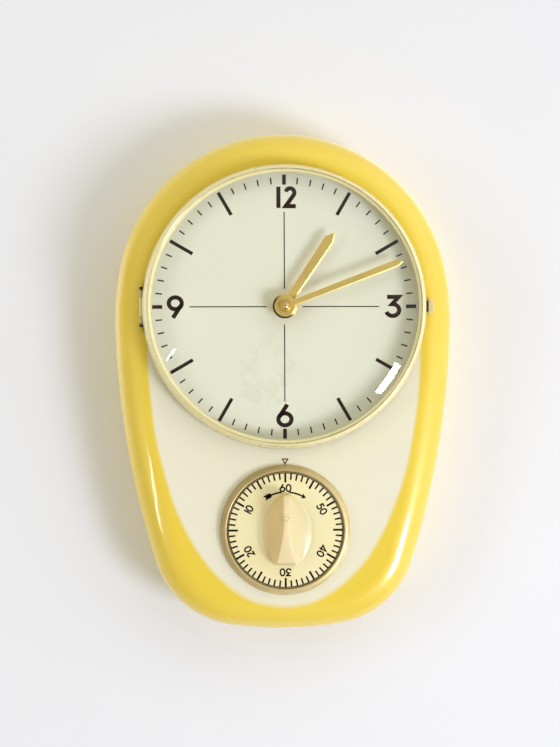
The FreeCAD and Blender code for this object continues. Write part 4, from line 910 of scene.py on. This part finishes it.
def bezel_profile():
    """Steep rolled outer band, a fine groove at the crest, then the chamfer down to the lip."""
    outer = [(BEZEL_R - 0.3, BEZEL_BACK_Y), (BEZEL_R, BEZEL_BACK_Y - 0.5)]
    outer += curve((BEZEL_R, BEZEL_BACK_Y - 0.5), (BEZEL_R - 0.6, CRYSTAL_SEAT_Y), (CREST_R + 0.5, CREST_Y + 0.05))
    crest = [(CREST_R + dr, CREST_Y + dy) for dr, dy in
             ((0.25, 0.0), (0.1, 0.1), (0.0, 0.5), (-0.1, 0.1), (-0.25, 0.0), (-0.5, 0.15))]
    lip = [(LIP_R + 0.2, -52.35), (LIP_R, -52.05), (LIP_R, CRYSTAL_SEAT_Y - 0.05), (LIP_R + 0.1, CRYSTAL_SEAT_Y)]
    back = [(73.3, CRYSTAL_SEAT_Y), (73.3, -47.5), (74.7, -45.6), (74.7, BEZEL_BACK_Y)]
    return outer + crest + lip + back


def build_bezel(bm):
    add_turned(bm, bezel_profile(), 0, DIAL_Z, 300)
    half = HINGE_KNUCKLE_HALF
    add_rod_z(bm, HINGE_KNUCKLE_R, HINGE_X, HINGE_Y, DIAL_Z - half, DIAL_Z + half)


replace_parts(new_piece("bezel_rolled_ring", build_bezel, paint("bezel_ivory"), "bezel", sharp=42),
            "bezel_ring")


def dome(radius, y_rim, steps=40):
    """A flat-topped dome from its apex to its edge, with closer points near the shoulder."""
    points = []
    for step in range(steps + 1):
        r = radius * (1 - (1 - step / steps) ** 2)
        points.append((r, y_rim - CRYSTAL_RISE * (1 - (r / radius) ** CRYSTAL_POWER)))
    return points


def build_crystal(bm):
    outer = dome(CRYSTAL_DOME_R, CRYSTAL_SEAT_Y)
    inner = dome(CRYSTAL_DOME_R - CRYSTAL_T, CRYSTAL_SEAT_Y + CRYSTAL_T)
    back = CRYSTAL_SEAT_Y + CRYSTAL_T
    rim = [(CRYSTAL_DOME_R + 0.35, CRYSTAL_SEAT_Y + 0.02), (CRYSTAL_RIM_R - 0.15, CRYSTAL_SEAT_Y + 0.02),
           (CRYSTAL_RIM_R, CRYSTAL_SEAT_Y + 0.17), (CRYSTAL_RIM_R, back - 0.15), (CRYSTAL_RIM_R - 0.15, back)]
    add_turned(bm, outer + rim + inner[::-1], 0, DIAL_Z, 300)


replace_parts(new_piece("crystal_dome", build_crystal, paint("crystal_clear"), "bezel", sharp=60),
            "crystal")


def build_lug(bm):
    """The D-shaped finger lug at three o'clock, with its short neck."""
    outline = [(77.6, DIAL_Z - 4.0), (78.3, DIAL_Z - 4.0)]
    outline += arc(78.3, DIAL_Z, 2.3, 4.0, -88, 88, 20)
    outline += [(78.3, DIAL_Z + 4.0), (77.6, DIAL_Z + 4.0)]
    add_plate(bm, outline, -45.4, -43.4, 0.35)
    # The neck is dark brown: tarnish, and painted shade in the gap beside the lug.
    neck = [(76.3, DIAL_Z - 3.0), (78.2, DIAL_Z - 3.0), (78.2, DIAL_Z + 3.0), (76.3, DIAL_Z + 3.0)]
    add_plate(bm, neck, -44.0, -43.42, 0.1, slot=1)


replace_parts(new_piece("finger_lug", build_lug, [paint("bezel_ivory"), TARNISH_AND_SHADE], "bezel"),
            "bezel_lug")


# --- numerals, drawn in a box one unit high
# Each figure is its strokes' middle lines as (points, closed), and its width.
FIGURES = {
    "0": ([(arc(0.33, 0.5, 0.285, 0.43, 0, 360, 36)[:-1], True)], 0.66),
    "1": ([([(0.08, 0.0), (0.08, 1.0)], False)], 0.16),
    "2": ([(arc(0.285, 0.715, 0.20, 0.205, 168, -30, 16) + [(0.075, 0.085), (0.55, 0.085)], False)], 0.57),
    "3": ([([(0.09, 0.925), (0.61, 0.925), (0.315, 0.6)] + arc(0.34, 0.335, 0.295, 0.265, 92, -162, 22), False)],
          0.72),
    "4": ([([(0.53, 0.0), (0.53, 0.94), (0.07, 0.27), (0.72, 0.27)], False)], 0.72),
    "5": ([([(0.58, 0.92), (0.20, 0.92), (0.175, 0.585)] + arc(0.31, 0.345, 0.275, 0.275, 118, -160, 22), False)],
          0.66),
    "6": ([(arc(0.36, 0.335, 0.295, 0.27, 0, 360, 32)[:-1], True), ([(0.10, 0.43), (0.47, 1.0)], False)], 0.72),
    "9": ([(arc(0.36, 0.665, 0.295, 0.27, 0, 360, 32)[:-1], True), ([(0.62, 0.57), (0.25, 0.0)], False)], 0.72),
}


def add_number(bm, text, height, stroke, gap, centre, turn, y_front, y_back):
    """A number centred on a point, its top turned clockwise by an angle."""
    x = -(sum(FIGURES[figure][1] * height for figure in text) + gap * (len(text) - 1)) / 2
    for figure in text:
        paths, width = FIGURES[figure]
        for path, closed in paths:
            points = []
            for px, pz in path:
                dx, dz = turned_about(x + px * height, (pz - 0.5) * height, turn)
                points.append((centre[0] + dx, centre[1] + dz))
            add_stroke(bm, points, stroke, y_front, y_back, closed)
        x += width * height + gap


def add_radial_bar(bm, angle, inner, outer, width, z0, y_front, y_back):
    add_stroke(bm, [clock_point(inner, angle, z0), clock_point(outer, angle, z0)], width, y_front, y_back)


def add_marks(bm, marks, z0, y_front, y_back):
    for minute in range(60):
        inner, outer, width = next(mark[1:] for mark in marks if minute % mark[0] == 0)
        add_radial_bar(bm, 6.0 * minute, inner, outer, width, z0, y_front, y_back)


# --- dial print
def build_minute_track(bm):
    add_marks(bm, DIAL_MARKS, DIAL_Z, *PRINT_Y)


def build_cross(bm):
    for angle in (0.0, 90.0, 180.0, 270.0):
        add_radial_bar(bm, angle, 9.6, 51.0, 0.56, DIAL_Z, *PRINT_Y)


def build_hour_numbers(bm):
    for text, x, z, height in HOUR_NUMBERS:
        add_number(bm, text, height, 2.25, 2.1, (x, DIAL_Z + z), 0, *PRINT_Y)


for name, builder in (("dial_minute_track", build_minute_track), ("dial_cross_lines", build_cross),
                      ("dial_numbers", build_hour_numbers)):
    new_piece(name, builder, INK_DIAL, "root")


# --- hands
def add_hand(bm, sizes, angle, depths, bevel, drop, bore_r):
    """A straight-sided hand with a chisel point, run into its round hub, turned clockwise."""
    length, root_half, tip_half, point, hub_r = sizes
    join = (hub_r ** 2 - root_half ** 2) ** 0.5
    outline = [(root_half, join), (tip_half, length - point), (tip_half * 0.2, length),
               (-tip_half, length - point * 0.8), (-root_half, join)]
    first = atan2(join, -root_half)
    last = atan2(join, root_half) + 2 * pi
    for step in range(1, HUB_STEPS):
        a = first + (last - first) * step / HUB_STEPS
        outline.append((hub_r * cos(a), hub_r * sin(a)))
    turned = [turned_about(x, z, angle) for x, z in outline]
    add_plate(bm, [(x, DIAL_Z + z) for x, z in turned], *depths, bevel, [circle(bore_r, 0, DIAL_Z, 40)],
              front_drop=drop)


def build_hour_hand(bm):
    add_hand(bm, HOUR_HAND, HOUR_ANGLE, HOUR_HAND_Y, 0.55, 0.34, 2.53)


def build_minute_hand(bm):
    add_hand(bm, MINUTE_HAND, MINUTE_ANGLE, MINUTE_HAND_Y, 0.45, 0.3, 1.73)


def build_nut(bm):
    front = MINUTE_HAND_Y[0]
    cone = [(1.05, 0.01), (3.1, 0.01), (3.1, 0.45), (2.75, 0.8), (2.35, 1.9), (1.5, 2.6), (0.6, 3.1), (0.0, 3.25),
            (0.0, 1.9), (1.05, 1.9)]
    profile = rounded([(r, front - up) for r, up in cone], 0.3, 4)
    profile = [(max(0.0, r), y) for r, y in profile]
    add_turned(bm, profile, 0, DIAL_Z, 64)


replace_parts(new_piece("hour_hand_brass", build_hour_hand, paint("brass_satin"), "hour", sharp=20),
            "hour_hand")
minute = new_piece("minute_hand_brass", build_minute_hand, paint("brass_satin"), "minute", sharp=20)
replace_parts(minute, "minute_hand")
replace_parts(new_piece("hand_nut_cone", build_nut, NUT_BRASS, "minute", sharp=50), "hand_nut")


# --- timer
def build_timer_ring(bm):
    seat = -42.02
    outer = (TIMER_RING_R, seat - 0.58)
    inner_r = TIMER_RING_INNER_R
    profile = [(TIMER_RING_R, seat), outer]
    profile += curve(outer, (TIMER_RING_R - 0.6, -45.3), (inner_r + 1.0, TIMER_RING_FRONT_Y))
    profile += [(inner_r + 0.7, TIMER_RING_FRONT_Y - 0.03), (inner_r + 0.4, -46.35), (inner_r + 0.15, -46.0),
                (inner_r + 0.02, -45.6), (inner_r, -45.2), (inner_r, -42.7), (28.0, -42.7), (28.0, TIMER_FLOOR_Y),
                (7.0, TIMER_FLOOR_Y), (7.0, -35.0), (28.6, -35.0), (28.6, seat)]
    add_turned(bm, profile, 0, TIMER_Z)


ring = new_piece("timer_ring_brass", build_timer_ring, paint("brass_ring"), "root", sharp=38)
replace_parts(ring, "timer_ring")


def fin_half_width(z):
    """Half the crest's width: narrow above the centre, flaring to the foot."""
    if z >= 1.0:
        return FIN_HALF
    t = (1.0 - z) / (1.0 - FIN_BOTTOM)
    return FIN_HALF + (FIN_FOOT_HALF - FIN_HALF) * t ** 1.25


def fin_crest(z):
    """The crest's depth: highest above the centre, lower at the top and the foot."""
    if z >= FIN_APEX_Z:
        return FIN_APEX_Y + 3.1 * ((z - FIN_APEX_Z) / (FIN_TOP - FIN_APEX_Z)) ** 1.7
    return FIN_APEX_Y + 6.4 * ((FIN_APEX_Z - z) / (FIN_APEX_Z - FIN_BOTTOM)) ** 1.5


def fin_foot_width(z):
    """How far the scooped side runs out on the disc before it blends in."""
    middle = (FIN_TOP + FIN_BOTTOM) / 2
    t = abs(z - middle) / (FIN_TOP - middle)
    return fin_half_width(z) + 0.5 + FIN_SPREAD * max(0.0, 1 - t ** 2)


def fin_row(bm, z, share_up, front):
    """One section across the fin: a flat crest, softened edges and hollow flanks down to the disc."""
    half = fin_half_width(z)
    foot = fin_foot_width(z)
    root = front + 0.02
    crest = root + (fin_crest(z) - root) * share_up
    edge = min(FIN_EDGE, (root - crest) * 0.4)
    flank = []
    for step in range(FIN_ACROSS + 1):
        share_out = (step / FIN_ACROSS) ** 1.5
        drop = 1 - (1 - share_out) ** FIN_SCOOP
        flank.append((half + (foot - half) * share_out, crest + edge + (root - crest - edge) * drop))
    corner = [(half - edge * inwards, crest + edge * down)
              for inwards, down in ((1, 0), (0.35, 0.12), (0.06, 0.5))]
    right = [(0.0, crest - 0.03 * share_up)] + corner + flank
    points = [(-x, y) for x, y in right[::-1]] + right[1:]
    points += [(foot, root + 0.4), (-foot, root + 0.4)]
    return [bm.verts.new((x, y, TIMER_Z + z)) for x, y in points]


def build_knob(bm):
    front, back = DISC_Y
    disc = rounded([(0.001, front), (DISC_R, front), (DISC_R, back), (5.0, back), (5.0, -40.5), (2.05, -40.5),
                    (2.05, -44.6), (0.001, -44.6)], 0.25, 4)
    add_turned(bm, disc, 0, TIMER_Z, 180)
    rows = []
    for index in range(FIN_STATIONS + 1):
        share = index / FIN_STATIONS
        z = FIN_BOTTOM + (FIN_TOP - FIN_BOTTOM) * (0.5 - 0.5 * cos(pi * share))
        up_bottom = min(1.0, (z - FIN_BOTTOM) / FIN_END_SLOPE)
        up_top = min(1.0, (FIN_TOP - z) / FIN_TOP_SLOPE)
        share_up = max(0.02, (1 - (1 - up_bottom) ** 2) * (1 - (1 - up_top) ** 2) ** 0.5)
        rows.append(fin_row(bm, z, share_up, front))
    quad_strips(bm, rows)
    bm.faces.new(rows[0])
    bm.faces.new(rows[-1])


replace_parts(new_piece("timer_knob", build_knob, paint("knob_ivory"), "timer_dial", sharp=50),
            "timer_dial_knob")


def build_scale(bm):
    add_marks(bm, SCALE_MARKS, TIMER_Z, *SCALE_Y)
    add_stroke(bm, circle(30.62, 0, TIMER_Z, 180), 0.42, SCALE_Y[0] - 0.005, SCALE_Y[1], closed=True)


def build_scale_numbers(bm):
    for minutes in (60, 50, 40, 30, 20, 10):
        angle = 6 * (60 - minutes)
        add_number(bm, str(minutes), 4.2, 0.82, 0.42, clock_point(22.6, angle, TIMER_Z), angle, *SCALE_Y)


def build_arrow(bm):
    """A curved arrow round the centre, with a solid head and four feathers at its tail."""
    def at(out, angle):
        return clock_point(ARROW_R + out, angle, TIMER_Z)

    for start, end in ((-26.0, -6.0), (6.0, 28.0)):
        add_stroke(bm, [at(0, start + (end - start) * step / 12) for step in range(13)], 0.9, *SCALE_Y)
    add_plate(bm, [at(0, 33.0), at(-1.5, 25.6), at(0, 27.2), at(1.5, 25.6)], *SCALE_Y)
    for number in range(4):
        angle = -30.5 + 2.6 * number
        add_stroke(bm, [at(1.25, angle - 2.2), at(0, angle + 1.2), at(-1.25, angle - 2.2)], 0.72, *SCALE_Y)


for name, builder in (("timer_scale_marks", build_scale), ("timer_scale_numbers", build_scale_numbers),
                      ("timer_turn_arrow", build_arrow)):
    new_piece(name, builder, INK_SCALE, "timer_dial")


def build_marker(bm):
    corners = [(-1.45, ZERO_MARK_Z + 1.2), (1.45, ZERO_MARK_Z + 1.2), (0.0, ZERO_MARK_Z - 1.25)]
    add_stroke(bm, corners, 0.6, CASE_FRONT - 0.05, CASE_FRONT, closed=True)


new_piece("timer_zero_mark", build_marker, INK_MARK, "root")


# --- stage, lights and camera
WALL_HALF = 4.0
WALL_Y = 0.0003
wall_mesh = bpy.data.meshes.new("wall")
wall_mesh.from_pydata([(x * WALL_HALF, WALL_Y, z * WALL_HALF) for x, z in ((-1, -1), (1, -1), (1, 1), (-1, 1))],
                      [], [(0, 1, 2, 3)])
wall_mesh.materials.append(wall_paint().material)
wall = placed("wall", wall_mesh)
wall.visible_shadow = False

world = bpy.data.worlds.new("room")
world.use_nodes = True
sky = world.node_tree
background = sky.nodes["Background"]
background.inputs[0].default_value = (1.0, 0.985, 0.90, 1.0)
sky_place = sky.nodes.new("ShaderNodeTexCoord").outputs["Generated"]


def sky_share(axis, low, high, to_low, to_high):
    """A value that runs between two amounts with the direction's reach along an axis."""
    along = sky.nodes.new("ShaderNodeVectorMath")
    along.operation = "DOT_PRODUCT"
    along.inputs[1].default_value = axis
    sky.links.new(sky_place, along.inputs[0])
    share = sky.nodes.new("ShaderNodeMapRange")
    for index, value in enumerate((low, high, to_low, to_high), 1):
        share.inputs[index].default_value = value
    sky.links.new(along.outputs["Value"], share.inputs[0])
    return share.outputs[0]


# The room is brighter above and to the right, and dark straight in front of the clock.
sky_strength = sky.nodes.new("ShaderNodeMath")
sky_strength.operation = "MULTIPLY_ADD"
sky.links.new(sky_share((0.62, -0.10, 0.78), -1.0, 1.0, 0.47, 0.74), sky_strength.inputs[0])
sky.links.new(sky_share((0.06, -1.0, -0.05), 0.80, 0.965, 1.0, 0.25), sky_strength.inputs[1])
sky.links.new(sky_share((0.97, -0.12, 0.20), 0.45, 1.0, 0.0, 0.55), sky_strength.inputs[2])
sky.links.new(sky_strength.outputs[0], background.inputs[1])
bpy.context.scene.world = world
bpy.context.scene.view_settings.view_transform = "Standard"

MIDDLE = Vector(((CAD_BOX[0].x + CAD_BOX[1].x) / 2, CAD_BOX[0].y, (CAD_BOX[0].z + CAD_BOX[1].z) / 2))


def add_lamp(name, direction, distance, size, power, colour, seen_by="both", turn_by=0.0):
    """A rectangular lamp that faces the object. Its width runs square to the plane of its direction and Y."""
    data = bpy.data.lights.new(name, "AREA")
    data.shape = "RECTANGLE"
    data.size, data.size_y = size
    data.energy = power
    data.color = colour
    lamp = placed(name, data)
    away = Vector(direction).normalized()
    across = away.cross(Vector((0, 1, 0))).normalized()
    across = (Matrix.Rotation(radians(turn_by), 3, away) @ across).normalized()
    up = away.cross(across)
    turn = Matrix((across, up, away)).transposed()
    lamp.location = MIDDLE + away * distance
    lamp.rotation_mode = "QUATERNION"
    lamp.rotation_quaternion = turn.to_quaternion()
    lamp.visible_camera = False
    lamp.visible_glossy = seen_by != "matt"
    lamp.visible_diffuse = seen_by != "gloss"
    return lamp


add_lamp("window", (0.645, -0.655, -0.393), 2.0, (0.60, 0.60), 23.0, (0.79, 0.80, 1.0), "matt")
add_lamp("window_glint", (0.718, -0.559, -0.4145), 1.9, (0.44, 0.46), 42.0, (0.97, 0.98, 1.0), "gloss")
add_lamp("side_glint", (-0.703, -0.65, -0.256), 1.8, (0.03, 0.80), 2.7, (1.0, 0.98, 0.94), "gloss", 9.0)
add_lamp("upper_soft", (0.35, -0.80, 0.75), 2.3, (2.2, 1.3), 6.0, (1.0, 0.98, 0.95), "matt")
add_lamp("right_soft", (1.0, -0.55, 0.15), 2.0, (1.6, 0.9), 1.0, (1.0, 0.99, 0.98), "matt")
add_lamp("left_soft", (-0.85, -0.65, 0.10), 2.0, (1.6, 0.5), 7.5, (1.0, 0.98, 0.95), "matt")
add_lamp("rear_fill", (0.4, 0.85, 0.35), 2.2, (1.2, 1.2), 26.0, (1.0, 0.97, 0.93))
add_lamp("rear_side", (-0.75, 0.6, 0.1), 2.2, (1.0, 1.0), 12.0, (0.95, 0.97, 1.0))

camera_data = bpy.data.cameras.new("camera")
camera_data.lens = 76.8
camera_data.sensor_width = 36.0
camera = placed("camera", camera_data)
CAMERA_AT = Vector((-0.0353, -0.8994, -0.1093))
LOOK_AT = Vector((-0.00255, -0.043, -0.10893))
CAMERA_ROLL = -0.24
camera.location = CAMERA_AT
camera.rotation_mode = "QUATERNION"
towards = (LOOK_AT - CAMERA_AT).normalized()
roll = Matrix.Rotation(radians(CAMERA_ROLL), 4, "Z").to_quaternion()
camera.rotation_quaternion = towards.to_track_quat("-Z", "Y") @ roll
bpy.context.scene.camera = camera
